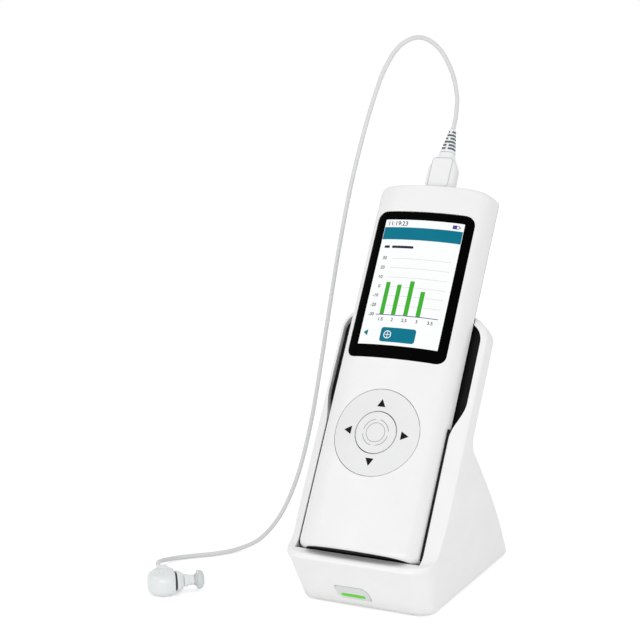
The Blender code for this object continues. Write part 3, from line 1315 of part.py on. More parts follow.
def dock_base_plate():
    body = solid("dock_base_plate", *along_z(base_outline(0.0), FOOT_HEIGHT, BASE_TOP), DOCK_WHITE, DOCK)
    for i, (x, y) in enumerate(foot_places()):
        sink = lathe([(RUBBER_RADIUS + GAP, 0.0), (RUBBER_RADIUS + GAP,
                                                   FOOT_HEIGHT + RUBBER_SINK + GAP)], 16)
        combine(body, solid(f"foot_seat_{i}", *moved(sink, Matrix.Translation((x, y, 0))), frame=DOCK))
    for i, (x, y) in enumerate(base_screw_places()):
        head, hole = SCREW_HEAD_RADIUS + GAP, SCREW_SHAFT_RADIUS + GAP
        floor = FOOT_HEIGHT + SCREW_SINK + SCREW_HEAD_HEIGHT + GAP
        well = lathe([(head, 0.0), (head, floor), (hole, floor), (hole, BASE_TOP + OVERRUN)], 12)
        combine(body, solid(f"screw_well_{i}", *moved(well, Matrix.Translation((x, y, 0))), frame=DOCK))
    for i, (x, y) in enumerate(board_post_places()):
        post = lathe([(DOCK_POST_RADIUS, BASE_TOP - BASE_THICKNESS / 2),
                      (DOCK_POST_RADIUS, BASE_TOP + DOCK_POST_HEIGHT)], 10)
        combine(body, solid(f"board_post_{i}", *moved(post, Matrix.Translation((x, y, 0))),
                            frame=DOCK), "UNION")
    return finish(body)


def board_post_places():
    x = DOCK_BOARD_WIDTH / 2 - DOCK_POST_INSET
    reach = DOCK_BOARD_LENGTH / 2 - DOCK_POST_INSET
    return [(-x, DOCK_BOARD_MIDDLE_Y - reach), (x, DOCK_BOARD_MIDDLE_Y - reach),
            (-x, DOCK_BOARD_MIDDLE_Y + reach), (x, DOCK_BOARD_MIDDLE_Y + reach)]


def base_trim():
    for i, (x, y) in enumerate(foot_places()):
        pad = lathe([(RUBBER_RADIUS * 0.9, 0.0), (RUBBER_RADIUS, RUBBER_SINK / 2),
                     (RUBBER_RADIUS, FOOT_HEIGHT + RUBBER_SINK)], 16)
        solid(f"dock_foot_{i + 1}", *moved(pad, Matrix.Translation((x, y, 0))), RUBBER, DOCK)
    turn_over = Matrix.Rotation(math.pi, 4, "X")
    for i, (x, y) in enumerate(base_screw_places()):
        head_top = Matrix.Translation((x, y, FOOT_HEIGHT + SCREW_SINK)) @ turn_over
        screw(f"base_screw_{i + 1}", head_top, STEEL, DOCK, BASE_SCREW_LENGTH)
    low = BASE_TOP + DOCK_POST_HEIGHT + GAP
    outline = rounded(DOCK_BOARD_WIDTH, DOCK_BOARD_LENGTH, BOARD_CORNER, 3, (0, DOCK_BOARD_MIDDLE_Y))
    solid("dock_board", *along_z(outline, low, low + DOCK_BOARD_THICKNESS), BOARD, DOCK)


def badge():
    body = solid("badge_plate", *along_z(badge_outline(0.0), -BADGE_THICKNESS + BADGE_PROUD,
                                         BADGE_PROUD), BADGE, FACE)
    combine(body, solid("light_slot", *along_z(light_outline(GAP), -LIGHT_DEPTH, OVERRUN), frame=FACE))
    finish(body)
    solid("status_light", *along_z(light_outline(0.0), -LIGHT_DEPTH, BADGE_PROUD + LIGHT_PROUD),
          LIGHT, FACE)


def power_inlet():
    face = inlet_face_y()
    outer = rounded(INLET_WIDTH, INLET_HEIGHT, INLET_HEIGHT / 2 - SKIN_OFFSET, 5, (0, INLET_Z))
    body = solid("power_inlet", *along_y(outer, face - INLET_LENGTH, face), STEEL, DOCK)
    inner_height = INLET_HEIGHT - 2 * INLET_WALL
    inner = rounded(INLET_WIDTH - 2 * INLET_WALL, inner_height, inner_height / 2 - SKIN_OFFSET, 5,
                    (0, INLET_Z))
    combine(body, solid("inlet_bore", *along_y(inner, face - INLET_LENGTH + 2 * INLET_WALL,
                                               face + OVERRUN), frame=DOCK))
    tongue = rounded(INLET_WIDTH * 0.68, INLET_TONGUE, INLET_TONGUE / 4, 1, (0, INLET_Z))
    combine(body, solid("inlet_tongue", *along_y(tongue, face - INLET_LENGTH + INLET_WALL,
                                                 face - INLET_LENGTH * 0.2), frame=DOCK), "UNION")
    return finish(body)


dock_housing()
cradle_liner()
contact_block()
charge_pins()
dock_base_plate()
base_trim()
badge()
power_inlet()
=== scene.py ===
"""Looks for the handheld hearing screener in its charging dock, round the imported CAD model.

The handset's own axes are u across, v up its length and w out of its face. Lengths are metres.
"""

import math

import bmesh
import bpy
import numpy as np
from mathutils import Matrix, Vector


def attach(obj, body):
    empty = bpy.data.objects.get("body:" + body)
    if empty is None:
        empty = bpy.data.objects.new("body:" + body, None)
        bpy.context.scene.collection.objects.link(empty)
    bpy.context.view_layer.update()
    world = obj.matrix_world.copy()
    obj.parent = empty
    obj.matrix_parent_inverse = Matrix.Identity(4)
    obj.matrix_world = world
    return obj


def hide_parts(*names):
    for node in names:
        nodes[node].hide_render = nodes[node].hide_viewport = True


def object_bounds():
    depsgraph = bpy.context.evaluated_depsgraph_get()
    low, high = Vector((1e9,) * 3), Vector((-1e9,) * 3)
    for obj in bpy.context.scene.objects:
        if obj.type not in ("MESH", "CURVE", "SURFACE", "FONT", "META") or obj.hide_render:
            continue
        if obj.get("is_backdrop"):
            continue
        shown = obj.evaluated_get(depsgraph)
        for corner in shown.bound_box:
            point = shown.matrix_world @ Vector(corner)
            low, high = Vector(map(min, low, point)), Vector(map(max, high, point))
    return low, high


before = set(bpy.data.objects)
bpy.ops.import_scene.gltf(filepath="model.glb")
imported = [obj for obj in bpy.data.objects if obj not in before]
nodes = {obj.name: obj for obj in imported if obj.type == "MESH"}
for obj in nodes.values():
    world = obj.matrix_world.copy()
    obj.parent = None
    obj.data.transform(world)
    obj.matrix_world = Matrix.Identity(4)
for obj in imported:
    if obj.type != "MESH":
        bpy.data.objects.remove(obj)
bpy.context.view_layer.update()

# How meshes are shaded: edges sharper than this stay sharp, points closer than this are one.
SHARP_ANGLE = math.radians(32.0)
WELD_REACH = 0.000002

# Places that repeat the CAD source's values.
LEAN = math.radians(31.4)
SIN, COS = math.sin(LEAN), math.cos(LEAN)
FRONT_Y, FOOT_Z = -0.0634, 0.0351
HALF = 0.0325
SEAM_DEPTH = 0.015
CROWN_SHARES = (
    (0.0, 0.02), (0.246, 0.0), (0.4, -0.027), (0.554, -0.067), (0.677, -0.127), (0.8, -0.233),
    (0.877, -0.347), (0.945, -0.56), (0.985, -0.8), (1.0, -1.0),
)
CROWN_SPANS = 2
WINDOW_RECESS, KEY_RECESS = 0.00015, 0.0001
SEAT_GAP = 0.0003
NAV_MIDDLE = 0.0595
SOCKET_AXIS_DEPTH = 0.011
RELIEF_END = 0.2304
CORD_RADIUS = 0.0012
CORD_ROUTE = (
    (-0.0019, 0.0757, 0.2432), (-0.0060, 0.0778, 0.2560), (-0.0128, 0.0762, 0.2680),
    (-0.0215, 0.0715, 0.2735), (-0.0302, 0.0662, 0.2695), (-0.0368, 0.0620, 0.2585),
    (-0.0420, 0.0590, 0.2430), (-0.0478, 0.0562, 0.2210), (-0.0540, 0.0535, 0.1930),
    (-0.0596, 0.0512, 0.1610), (-0.0645, 0.0490, 0.1280), (-0.0690, 0.0466, 0.0950),
    (-0.0733, 0.0430, 0.0640), (-0.0780, 0.0370, 0.0370), (-0.0836, 0.0275, 0.0165),
    (-0.0898, 0.0150, 0.0050), (-0.0965, 0.0020, 0.0018), (-0.1042, -0.0092, 0.0014),
    (-0.1128, -0.0172, 0.0014), (-0.1200, -0.0255, 0.0016), (-0.1226, -0.0350, 0.0027),
    (-0.1202, -0.0430, 0.0045),
)
PROBE = Vector((-0.1000, -0.0700, 0.0058))
PROBE_TURN = math.radians(38.0)
SLEEVE_END = 0.0216


def on_handset(u, v, w):
    """A point on the handset's axes, in the row frame."""
    return Vector((u, FRONT_Y + SIN * v - COS * w, FOOT_Z + COS * v + SIN * w))


def smooth_line(points, spans):
    """A Catmull-Rom line through the points, with so many steps from each to the next."""
    pts = [np.array(p, float) for p in points]
    pts = [2 * pts[0] - pts[1]] + pts + [2 * pts[-1] - pts[-2]]
    line = []
    for a, b, c, d in zip(pts, pts[1:], pts[2:], pts[3:]):
        for k in range(spans):
            t = k / spans
            line.append(0.5 * (2 * b + (c - a) * t + (2 * a - 5 * b + 4 * c - d) * t**2
                               + (3 * b - a - 3 * c + d) * t**3))
    line.append(pts[-2])
    return line


CROWN = [(min(p[0], HALF), p[1]) for p in smooth_line(
    [(HALF * x, SEAM_DEPTH * z) for x, z in CROWN_SHARES], CROWN_SPANS)]


def crown(u):
    """How high the handset's crowned face stands at u."""
    return float(np.interp(abs(u), [p[0] for p in CROWN], [p[1] for p in CROWN]))


# Camera, from the photograph's own perspective: metres, degrees and millimetres of film and lens.
CAMERA_PLACE = (0.33955, -0.78129, 0.30526)
CAMERA_AZIMUTH, CAMERA_ELEVATION, CAMERA_ROLL = 26.262, 11.221, -0.34
CAMERA_FILM, CAMERA_LENS = 36.0, 97.403
camera = bpy.data.objects.new("camera", bpy.data.cameras.new("camera"))
bpy.context.scene.collection.objects.link(camera)
camera.matrix_world = (
    Matrix.Translation(CAMERA_PLACE)
    @ Matrix.Rotation(math.radians(CAMERA_AZIMUTH), 4, "Z")
    @ Matrix.Rotation(math.radians(90.0 - CAMERA_ELEVATION), 4, "X")
    @ Matrix.Rotation(math.radians(CAMERA_ROLL), 4, "Z"))
camera.data.sensor_width = CAMERA_FILM
camera.data.lens = CAMERA_LENS
camera.data.clip_start, camera.data.clip_end = 0.01, 20.0
bpy.context.scene.camera = camera


# Materials. Every one is a small node tree with its own grain, tone and roughness.
# A noise lies mostly between NOISE_LOW and NOISE_HIGH. Grains and swells are (scale, depth).
NOISE_LOW, NOISE_HIGH = 0.3, 0.7
TONE_DETAIL, POLISH_DETAIL, GRAIN_DETAIL, SWELL_DETAIL = 2.0, 4.0, 2.0, 1.0
PLASTIC_TONE_SCALE, PLASTIC_POLISH_SCALE = 55.0, 420.0
PLASTIC_SMOOTHER, PLASTIC_ROUGHER = 0.01, 0.015
PLASTIC_SWELL, PLASTIC_BUMP = (60.0, 0.000005), 0.2
METAL_TONE_SCALE, METAL_POLISH_SCALE = 300.0, 900.0
METAL_SMOOTHER, METAL_ROUGHER = 0.06, 0.08
METAL_SPREAD, METAL_GRAIN, METAL_BUMP = 0.05, (4000.0, 0.000006), 0.4


class Look:
    """One material: a shader fed by noises in the piece's own coordinates."""

    def __init__(self, name, **sockets):
        self.material = bpy.data.materials.new(name)
        self.material.use_nodes = True
        self.tree = self.material.node_tree
        self.shader = self.tree.nodes["Principled BSDF"]
        self.place = self.tree.nodes.new("ShaderNodeTexCoord")
        for socket, value in sockets.items():
            self.set(socket.replace("_", " "), value)

    def set(self, socket, value):
        self.shader.inputs[socket].default_value = value

    def link(self, a, b):
        self.tree.links.new(a, b)

    def noise(self, scale, detail):
        node = self.tree.nodes.new("ShaderNodeTexNoise")
        node.inputs["Scale"].default_value = scale
        node.inputs["Detail"].default_value = detail
        self.link(self.place.outputs["Object"], node.inputs["Vector"])
        return node.outputs["Fac"]

    def ramp(self, value, low, high):
        node = self.tree.nodes.new("ShaderNodeValToRGB")
        node.color_ramp.elements[0].position = NOISE_LOW
        node.color_ramp.elements[1].position = NOISE_HIGH
        node.color_ramp.elements[0].color = (*low, 1.0)
        node.color_ramp.elements[1].color = (*high, 1.0)
        self.link(value, node.inputs["Fac"])
        return node.outputs["Color"]

    def tone(self, colour, spread, scale, socket="Base Color"):
        """A colour that drifts a little over the surface."""
        low = tuple(max(c * (1 - spread), 0.0) for c in colour)
        high = tuple(min(c * (1 + spread), 1.0) for c in colour)
        colours = self.ramp(self.noise(scale, TONE_DETAIL), low, high)
        self.link(colours, self.shader.inputs[socket])

    def polish(self, low, high, scale):
        """A roughness that drifts between two values."""
        node = self.tree.nodes.new("ShaderNodeMapRange")
        node.inputs["From Min"].default_value = NOISE_LOW
        node.inputs["From Max"].default_value = NOISE_HIGH
        node.inputs["To Min"].default_value = low
        node.inputs["To Max"].default_value = high
        self.link(self.noise(scale, POLISH_DETAIL), node.inputs["Value"])
        self.link(node.outputs["Result"], self.shader.inputs["Roughness"])

    def grain(self, scale, depth, strength, swell_below=None):
        """A fine moulded texture, where swell_below adds a slower one beneath it."""
        bump = self.tree.nodes.new("ShaderNodeBump")
        bump.inputs["Strength"].default_value = strength
        bump.inputs["Distance"].default_value = depth
        self.link(self.noise(scale, GRAIN_DETAIL), bump.inputs["Height"])
        if swell_below:
            swell = self.tree.nodes.new("ShaderNodeBump")
            swell.inputs["Strength"].default_value = strength
            swell.inputs["Distance"].default_value = swell_below[1]
            self.link(self.noise(swell_below[0], SWELL_DETAIL), swell.inputs["Height"])
            self.link(swell.outputs["Normal"], bump.inputs["Normal"])
        self.link(bump.outputs["Normal"], self.shader.inputs["Normal"])


def plastic(name, colour, rough, grain=(2600.0, 0.00001), spread=0.012, **sockets):
    """A moulded plastic or rubber, whose colour drifts by the share spread."""
    look = Look(name, **sockets)
    look.tone(colour, spread, PLASTIC_TONE_SCALE)
    look.polish(rough - PLASTIC_SMOOTHER, rough + PLASTIC_ROUGHER, PLASTIC_POLISH_SCALE)
    look.grain(*grain, PLASTIC_BUMP, swell_below=PLASTIC_SWELL)
    return look.material


def metal(name, colour, rough):
    look = Look(name, Metallic=1.0)
    look.tone(colour, METAL_SPREAD, METAL_TONE_SCALE)
    look.polish(rough - METAL_SMOOTHER, rough + METAL_ROUGHER, METAL_POLISH_SCALE)
    look.grain(*METAL_GRAIN, METAL_BUMP)
    return look.material


SHELL = plastic("shell_white", (0.885, 0.885, 0.88), 0.30, grain=(2600.0, 0.000002),
                Coat_Weight=0.2, Coat_Roughness=0.12)
DOCK = plastic("dock_white", (0.925, 0.925, 0.92), 0.40, grain=(3200.0, 0.000005))
KEYS = plastic("key_grey", (0.815, 0.82, 0.82), 0.44, grain=(3000.0, 0.000008))
CASE = plastic("case_black", (0.007, 0.007, 0.0075), 0.46, grain=(2800.0, 0.00002), spread=0.12,
               Specular_IOR_Level=0.12)
BADGE = plastic("badge_grey", (0.74, 0.76, 0.76), 0.34)
PANEL = plastic("panel_grey", (0.30, 0.32, 0.34), 0.4, spread=0.05)
CELL = plastic("cell_grey", (0.25, 0.27, 0.30), 0.4, spread=0.06)
RUBBER = plastic("rubber_grey", (0.09, 0.09, 0.09), 0.8, grain=(2000.0, 0.00004), spread=0.1)
BOARD = plastic("board_green", (0.02, 0.16, 0.07), 0.4, grain=(900.0, 0.00004), spread=0.2)
CORD_LOOK = plastic("cord_white", (0.72, 0.73, 0.735), 0.42, grain=(1500.0, 0.000001))
# Painted shade: a dark colour for the shade in the strain relief's grooves.
GROOVE_SHADE = plastic("painted_groove_shade", (0.085, 0.11, 0.13), 0.6, grain=(2600.0, 0.000004), spread=0.08)
LINE = plastic("line_grey", (0.46, 0.48, 0.49), 0.45, grain=(2600.0, 0.000002), spread=0.04)
PLUG = plastic("plug_white", (0.88, 0.89, 0.89), 0.34, Subsurface_Weight=0.06,
               Subsurface_Scale=0.001)
PROBE_LOOK = plastic("probe_white", (0.80, 0.83, 0.83), 0.24, Coat_Weight=0.4,
                     Coat_Roughness=0.1)
SEAL = plastic("seal_dark", (0.05, 0.055, 0.055), 0.6, spread=0.1)
STEEL = metal("steel", (0.60, 0.60, 0.61), 0.28)
GOLD = metal("contact_gold", (0.85, 0.62, 0.25), 0.24)


def window_look():
    look = Look("window_black", Coat_Weight=0.01, Coat_Roughness=0.03)
    look.set("Specular IOR Level", 0.01)
    look.tone((0.0008, 0.0008, 0.0009), 0.2, 90.0)
    look.polish(0.05, 0.09, 500.0)
    look.grain(120.0, 0.000004, 0.2)
    return look.material


def sleeve_look():
    look = Look("sleeve_green", Subsurface_Weight=0.35, Subsurface_Scale=0.002)
    look.set("Transmission Weight", 0.25)
    look.tone((0.56, 0.66, 0.60), 0.06, 260.0)
    look.polish(0.28, 0.4, 700.0)
    look.grain(1800.0, 0.00002, 0.35)
    return look.material


def tip_look():
    look = Look("tip_clear", Subsurface_Weight=0.4, Subsurface_Scale=0.002)
    look.set("Transmission Weight", 0.2)
    look.tone((0.76, 0.81, 0.81), 0.04, 300.0)
    look.polish(0.3, 0.42, 800.0)
    look.grain(1500.0, 0.00002, 0.35)
    return look.material


def glow(name, colour, strength, spread=0.03):
    """A lit surface: the colour shines from within and drifts a little."""
    look = Look(name)
    look.set("Base Color", (*[c * 0.05 for c in colour], 1.0))
    look.set("Specular IOR Level", 0.03)
    look.set("Emission Strength", strength)
    look.tone(colour, spread, 120.0, socket="Emission Color")
    look.polish(0.18, 0.26, 500.0)
    look.grain(2200.0, 0.000004, 0.2)
    return look.material


def linear(r, g, b):
    """Colour of a picture's 0 to 255 value, on the shader's scale, by sRGB's own curve."""
    out = []
    for c in (r, g, b):
        c /= 255
        out.append(c / 12.92 if c <= 0.04045 else ((c + 0.055) / 1.055) ** 2.4)
    return tuple(out)


WINDOW = window_look()
SLEEVE = sleeve_look()
TIP = tip_look()
LIGHT = glow("light_green", linear(112, 205, 70), 0.95, 0.12)
SCREEN_WHITE = glow("screen_white", linear(247, 249, 249), 1.0, 0.01)
SCREEN_TEAL = glow("screen_teal", linear(14, 116, 139), 1.0)
SCREEN_GREEN = glow("screen_green", linear(66, 174, 50), 1.0)
SCREEN_PURPLE = glow("screen_purple", linear(90, 70, 140), 1.0)
SCREEN_GREY = glow("screen_grey", linear(176, 184, 188), 1.0)
SCREEN_INK = glow("screen_ink", linear(44, 46, 70), 1.0)
PRINT_BLACK = plastic("print_black", (0.006, 0.006, 0.0065), 0.5, grain=(3000.0, 0.000004),
                      Specular_IOR_Level=0.1)
PRINT_GREY = plastic("print_grey", (0.30, 0.32, 0.33), 0.5, grain=(3000.0, 0.000004))

LOOKS = {
    SHELL: ["front_shell"],
    CASE: ["rear_cover", "cradle_liner", "contact_block"],
    WINDOW: ["display_window"],
    PANEL: ["display_module"],
    KEYS: ["nav_ring", "center_button"],
    RUBBER: ["keypad_mat", "dock_foot_1", "dock_foot_2", "dock_foot_3", "dock_foot_4"],
    BOARD: ["main_board", "dock_board"],
    CELL: ["battery", "nav_rocker"],
    DOCK: ["dock_housing", "dock_base_plate"],
    BADGE: ["badge_plate"],
    LIGHT: ["status_light"],
    PLUG: ["plug_overmould", "strain_relief"],
    PROBE_LOOK: ["probe_body", "probe_collar", "probe_nozzle"],
    SEAL: ["probe_seal"],
    SLEEVE: ["probe_sleeve"],
    TIP: ["ear_tip"],
    STEEL: ["plug_tongue", "power_inlet", "probe_socket"]
    + [f"rear_screw_{k}" for k in range(1, 5)] + [f"base_screw_{k}" for k in range(1, 5)],
    GOLD: ["charge_pad_left", "charge_pad_right", "charge_pin_left", "charge_pin_right"],
}
for look, names in LOOKS.items():
    for name in names:
        for slot in nodes[name].material_slots:
            slot.material = look
        if not nodes[name].material_slots:
            nodes[name].data.materials.append(look)


def shading_group():
    """Nodes that shade a mesh smooth and keep its sharp edges."""
    group = bpy.data.node_groups.new("smooth", "GeometryNodeTree")
    group.interface.new_socket("Geometry", in_out="INPUT", socket_type="NodeSocketGeometry")
    group.interface.new_socket("Geometry", in_out="OUTPUT", socket_type="NodeSocketGeometry")
    start = group.nodes.new("NodeGroupInput")
    end = group.nodes.new("NodeGroupOutput")
    faces = group.nodes.new("GeometryNodeSetShadeSmooth")
    edges = group.nodes.new("GeometryNodeSetShadeSmooth")
    edges.domain = "EDGE"
    turn = group.nodes.new("GeometryNodeInputMeshEdgeAngle")
    test = group.nodes.new("FunctionNodeCompare")
    test.data_type = "FLOAT"
    test.operation = "LESS_THAN"
    test.inputs[1].default_value = SHARP_ANGLE
    group.links.new(turn.outputs["Unsigned Angle"], test.inputs[0])
    group.links.new(start.outputs[0], faces.inputs["Geometry"])
    group.links.new(faces.outputs[0], edges.inputs["Geometry"])
    group.links.new(test.outputs[0], edges.inputs["Shade Smooth"])
    group.links.new(edges.outputs[0], end.inputs[0])
    return group


smooth_nodes = shading_group()
for node in nodes.values():
    weld = node.modifiers.new("weld", "WELD")
    weld.merge_threshold = WELD_REACH
    shade = node.modifiers.new("shade", "NODES")
    shade.node_group = smooth_nodes


# The cord: one smooth tube from the strain relief to the probe's sleeve. It leaves and arrives
# straight, and the steps there are counted in its radii.
STEPS_OUT, STEPS_IN, CORD_SPANS, CORD_ROUNDNESS = (3, 6), (4, 2), 6, 5
axis = on_handset(0, 1, 0) - on_handset(0, 0, 0)
leave = on_handset(0, RELIEF_END, -SOCKET_AXIS_DEPTH)
turn = Matrix.Rotation(PROBE_TURN, 3, "Z") @ Vector((0, 1, 0))
arrive = PROBE + turn * (SLEEVE_END + SEAT_GAP)
middle = smooth_line([leave + axis * STEPS_OUT[1] * CORD_RADIUS, *CORD_ROUTE,
                      arrive + turn * STEPS_IN[0] * CORD_RADIUS], CORD_SPANS)
route = [leave, leave + axis * STEPS_OUT[0] * CORD_RADIUS, *middle,
         arrive + turn * STEPS_IN[1] * CORD_RADIUS, arrive]
curve = bpy.data.curves.new("cord", "CURVE")
curve.dimensions = "3D"
curve.bevel_depth = CORD_RADIUS
curve.bevel_resolution = CORD_ROUNDNESS
curve.use_fill_caps = True
spline = curve.splines.new("POLY")
spline.points.add(len(route) - 1)
for point, place in zip(spline.points, route):
    point.co = (*place, 1.0)
curve.materials.append(CORD_LOOK)
cord = bpy.data.objects.new("lead", curve)
bpy.context.scene.collection.objects.link(cord)
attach(cord, "plug")
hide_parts("probe_cord")


def add_piece(name, work, look, body):
    """Makes a piece of a bmesh, with its look and body, and gives back its mesh."""
    mesh = bpy.data.meshes.new(name)
    work.to_mesh(mesh)
    work.free()
    mesh.materials.append(look)
    made = bpy.data.objects.new(name, mesh)
    bpy.context.scene.collection.objects.link(made)
    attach(made, body)
    return mesh


def piece(name, points, faces, look, body, slot, smooth=True):
    """A piece of the given points and faces."""
    work = bmesh.new()
    corners = [work.verts.new(point) for point in points]
    for side in faces:
        work.faces.new([corners[k] for k in side])
    bmesh.ops.recalc_face_normals(work, faces=work.faces)
    mesh = add_piece(name, work, look, body)
    if smooth:
        mesh.shade_smooth()
        mesh.set_sharp_from_angle(angle=SHARP_ANGLE)


# Prints and screen layers: how thick they are, and how far each layer lies over the last.
PRINT_THICKNESS, LAYER_STEP = 0.00004, 0.00002
KINK_MARGIN, KINK_REACH = 0.000001, 0.00000001
DIGIT_WELD = 0.000001
CORNER_STEPS, ARC_STEPS = 5, 14


def cut_at_kinks(work):
    """Cuts flat shapes along the lines where the crown's slope changes, so that they lie on it."""
    low = min(v.co.x for v in work.verts)
    high = max(v.co.x for v in work.verts)
    for x in sorted({side * place for place, _ in CROWN for side in (-1, 1)}):
        if low + KINK_MARGIN < x < high - KINK_MARGIN:
            bmesh.ops.bisect_plane(work, geom=work.verts[:] + work.edges[:] + work.faces[:],
                                   dist=KINK_REACH, plane_co=(x, 0, 0), plane_no=(1, 0, 0))


def print_on(name, shapes, look, body, recess, layer):
    """Thin printed or lit shapes on the handset's face: closed outlines in u and v, each cut into
    strips so that it follows the crown."""
    work = bmesh.new()
    for outline in shapes:
        flat = [work.verts.new((u, v, 0.0)) for u, v in outline]
        work.faces.new(flat)
    cut_at_kinks(work)
    raised = bmesh.ops.extrude_face_region(work, geom=work.faces[:])
    tops = [g for g in raised["geom"] if isinstance(g, bmesh.types.BMVert)]
    for v in tops:
        v.co.z = 1.0
    for v in work.verts:
        u, up, top = v.co
        w = (crown(u) - recess + layer * LAYER_STEP + (PRINT_THICKNESS if top > 0.5 else 0.0)
             - PRINT_THICKNESS)
        v.co = on_handset(u, up, w)
    bmesh.ops.recalc_face_normals(work, faces=work.faces)
    add_piece(name, work, look, body)


def rounded(width, height, corner, middle=(0.0, 0.0)):
    """The outline of a box with round corners."""
    out = []
    for sx, sy, start in ((1, 1, 0), (-1, 1, 90), (-1, -1, 180), (1, -1, 270)):
        cx, cy = middle[0] + sx * (width / 2 - corner), middle[1] + sy * (height / 2 - corner)
        for k in range(CORNER_STEPS + 1):
            a = math.radians(start + 90 * k / CORNER_STEPS)
            out.append((cx + corner * math.cos(a), cy + corner * math.sin(a)))
    return out


def ring_part(radius, width, start, end, middle):
    """An arc of a printed ring, between two angles in degrees."""
    out = []
    for r, order in ((radius + width / 2, 1), (radius - width / 2, -1)):
        for k in range(ARC_STEPS + 1)[::order]:
            a = math.radians(start + (end - start) * k / ARC_STEPS)
            out.append((middle[0] + r * math.cos(a), middle[1] + r * math.sin(a)))
    return out


# The screen: what it shows lies in thin lit layers on the window. Places on it are shares of its
# width and height, counted right and down from its top left corner.
SCREEN_W, SCREEN_H = 0.0432, 0.0683
SCREEN_U, SCREEN_V = 0.0004, 0.1391
GROUND, MARKS, FRONT = 1, 2, 3
FONT_PER_DIGIT, DIGIT_BOLD = 1.38, 0.00005
CLOCK_HIGH, DIGIT_HIGH = 0.036, 0.026
GRID = (0.314, 0.39, 0.466, 0.541, 0.614, 0.69)
GRID_LEFT, LAST_DASH, GRID_RIGHT, GRID_HALF = 0.20, 0.94, 0.95, 0.0016
DASH, DASH_STEP = 0.021, 0.031
AXIS_Y, AXIS_HALF = 0.765, 0.003
UP_SCALE = ("30", "20", "10", "0", "-10", "-20", "-30")
UP_SCALE_X, CROSS_SCALE_Y = 0.125, 0.802
CROSS_SCALE = (("1.5", 0.225), ("2", 0.375), ("2.5", 0.53), ("3", 0.684), ("3.5", 0.847))
BARS = ((0.225, 0.506), (0.375, 0.523), (0.53, 0.49), (0.684, 0.565))
BAR_HALF = 0.0275
ICON_PLACE, ICON_RADIUS, ICON_LINE = (0.36, 0.918), 0.0019, 0.0004
CROSS_LONG, CROSS_THICK, CROSS_CORNER = 0.0034, 0.0003, 0.0001


def on_screen(x, y):
    """From shares of the screen, right and down, to the handset's u and v."""
    return (SCREEN_U + (x - 0.5) * SCREEN_W, SCREEN_V + (0.5 - y) * SCREEN_H)


def screen_box(x0, y0, x1, y1, corner=0.0):
    """A box's outline, from its top left to its bottom right; corner is in metres."""
    a, b = on_screen(x0, y1), on_screen(x1, y0)
    if corner:
        return rounded(b[0] - a[0], b[1] - a[1], corner, ((a[0] + b[0]) / 2, (a[1] + b[1]) / 2))
    return [(a[0], a[1]), (b[0], a[1]), (b[0], b[1]), (a[0], b[1])]


def on_window(name, shapes, look, layer):
    print_on(name, shapes, look, "handset", WINDOW_RECESS, layer)


def digits(name, texts, look, layer):
    """Numbers from Blender's own font: each is (text, x, y, height, alignment)."""
    work = bmesh.new()
    for text, x, y, height, align in texts:
        font = bpy.data.curves.new("text", "FONT")
        font.body = text
        font.size = height * SCREEN_H * FONT_PER_DIGIT
        font.align_x = align
        font.align_y = "CENTER"
        font.resolution_u = 3
        font.offset = DIGIT_BOLD
        holder = bpy.data.objects.new("text", font)
        bpy.context.scene.collection.objects.link(holder)
        bpy.context.view_layer.update()
        flat = bpy.data.meshes.new_from_object(holder.evaluated_get(
            bpy.context.evaluated_depsgraph_get()))
        flat.transform(Matrix.Translation((*on_screen(x, y), 0)))
        work.from_mesh(flat)
        bpy.data.objects.remove(holder)
    cut_at_kinks(work)
    for v in work.verts:
        v.co = on_handset(v.co.x, v.co.y, crown(v.co.x) - WINDOW_RECESS + layer * LAYER_STEP)
    bmesh.ops.remove_doubles(work, verts=work.verts, dist=DIGIT_WELD)
    add_piece(name, work, look, "handset")


on_window("screen_ground", [screen_box(0, 0, 1, 1, 0.0003)], SCREEN_WHITE, GROUND)
on_window("screen_header", [screen_box(0.004, 0.062, 0.996, 0.162)], SCREEN_TEAL, MARKS)
digits("screen_clock", [("11:19:23", 0.035, 0.033, CLOCK_HIGH, "LEFT")], SCREEN_INK, MARKS)
on_window("screen_battery", [screen_box(0.865, 0.018, 0.945, 0.048, 0.0002),
                             screen_box(0.948, 0.027, 0.96, 0.039)], SCREEN_PURPLE, MARKS)
on_window("screen_battery_room", [screen_box(0.918, 0.023, 0.939, 0.043)], SCREEN_WHITE, FRONT)
on_window("screen_state_line", [screen_box(0.06, 0.212, 0.13, 0.232, 0.0004),
                                screen_box(0.16, 0.212, 0.44, 0.232, 0.0004)], SCREEN_INK, MARKS)

dashes = []
for y in GRID:
    x = GRID_LEFT
    while x < LAST_DASH:
        dashes.append(screen_box(x, y - GRID_HALF, min(x + DASH, GRID_RIGHT), y + GRID_HALF))
        x += DASH_STEP
on_window("screen_grid", dashes, SCREEN_GREY, MARKS)
on_window("screen_axis", [screen_box(0.15, AXIS_Y - AXIS_HALF, 0.93, AXIS_Y + AXIS_HALF)],
          SCREEN_PURPLE, MARKS)
scale_marks = [(t, UP_SCALE_X, y, DIGIT_HIGH, "RIGHT") for t, y in zip(UP_SCALE, (*GRID, AXIS_Y))]
scale_marks += [(t, x, CROSS_SCALE_Y, DIGIT_HIGH, "CENTER") for t, x in CROSS_SCALE]
digits("screen_scale", scale_marks, SCREEN_INK, MARKS)
on_window("screen_bars", [screen_box(x - BAR_HALF, top, x + BAR_HALF, AXIS_Y - AXIS_HALF)
                          for x, top in BARS], SCREEN_GREEN, FRONT)
on_window("screen_back_arrow", [[on_screen(0.045, 0.91), on_screen(0.10, 0.935),
                                 on_screen(0.10, 0.885)]], SCREEN_TEAL, MARKS)
on_window("screen_button", [screen_box(0.27, 0.862, 0.71, 0.975, 0.0014)], SCREEN_TEAL, MARKS)
icon = on_screen(*ICON_PLACE)
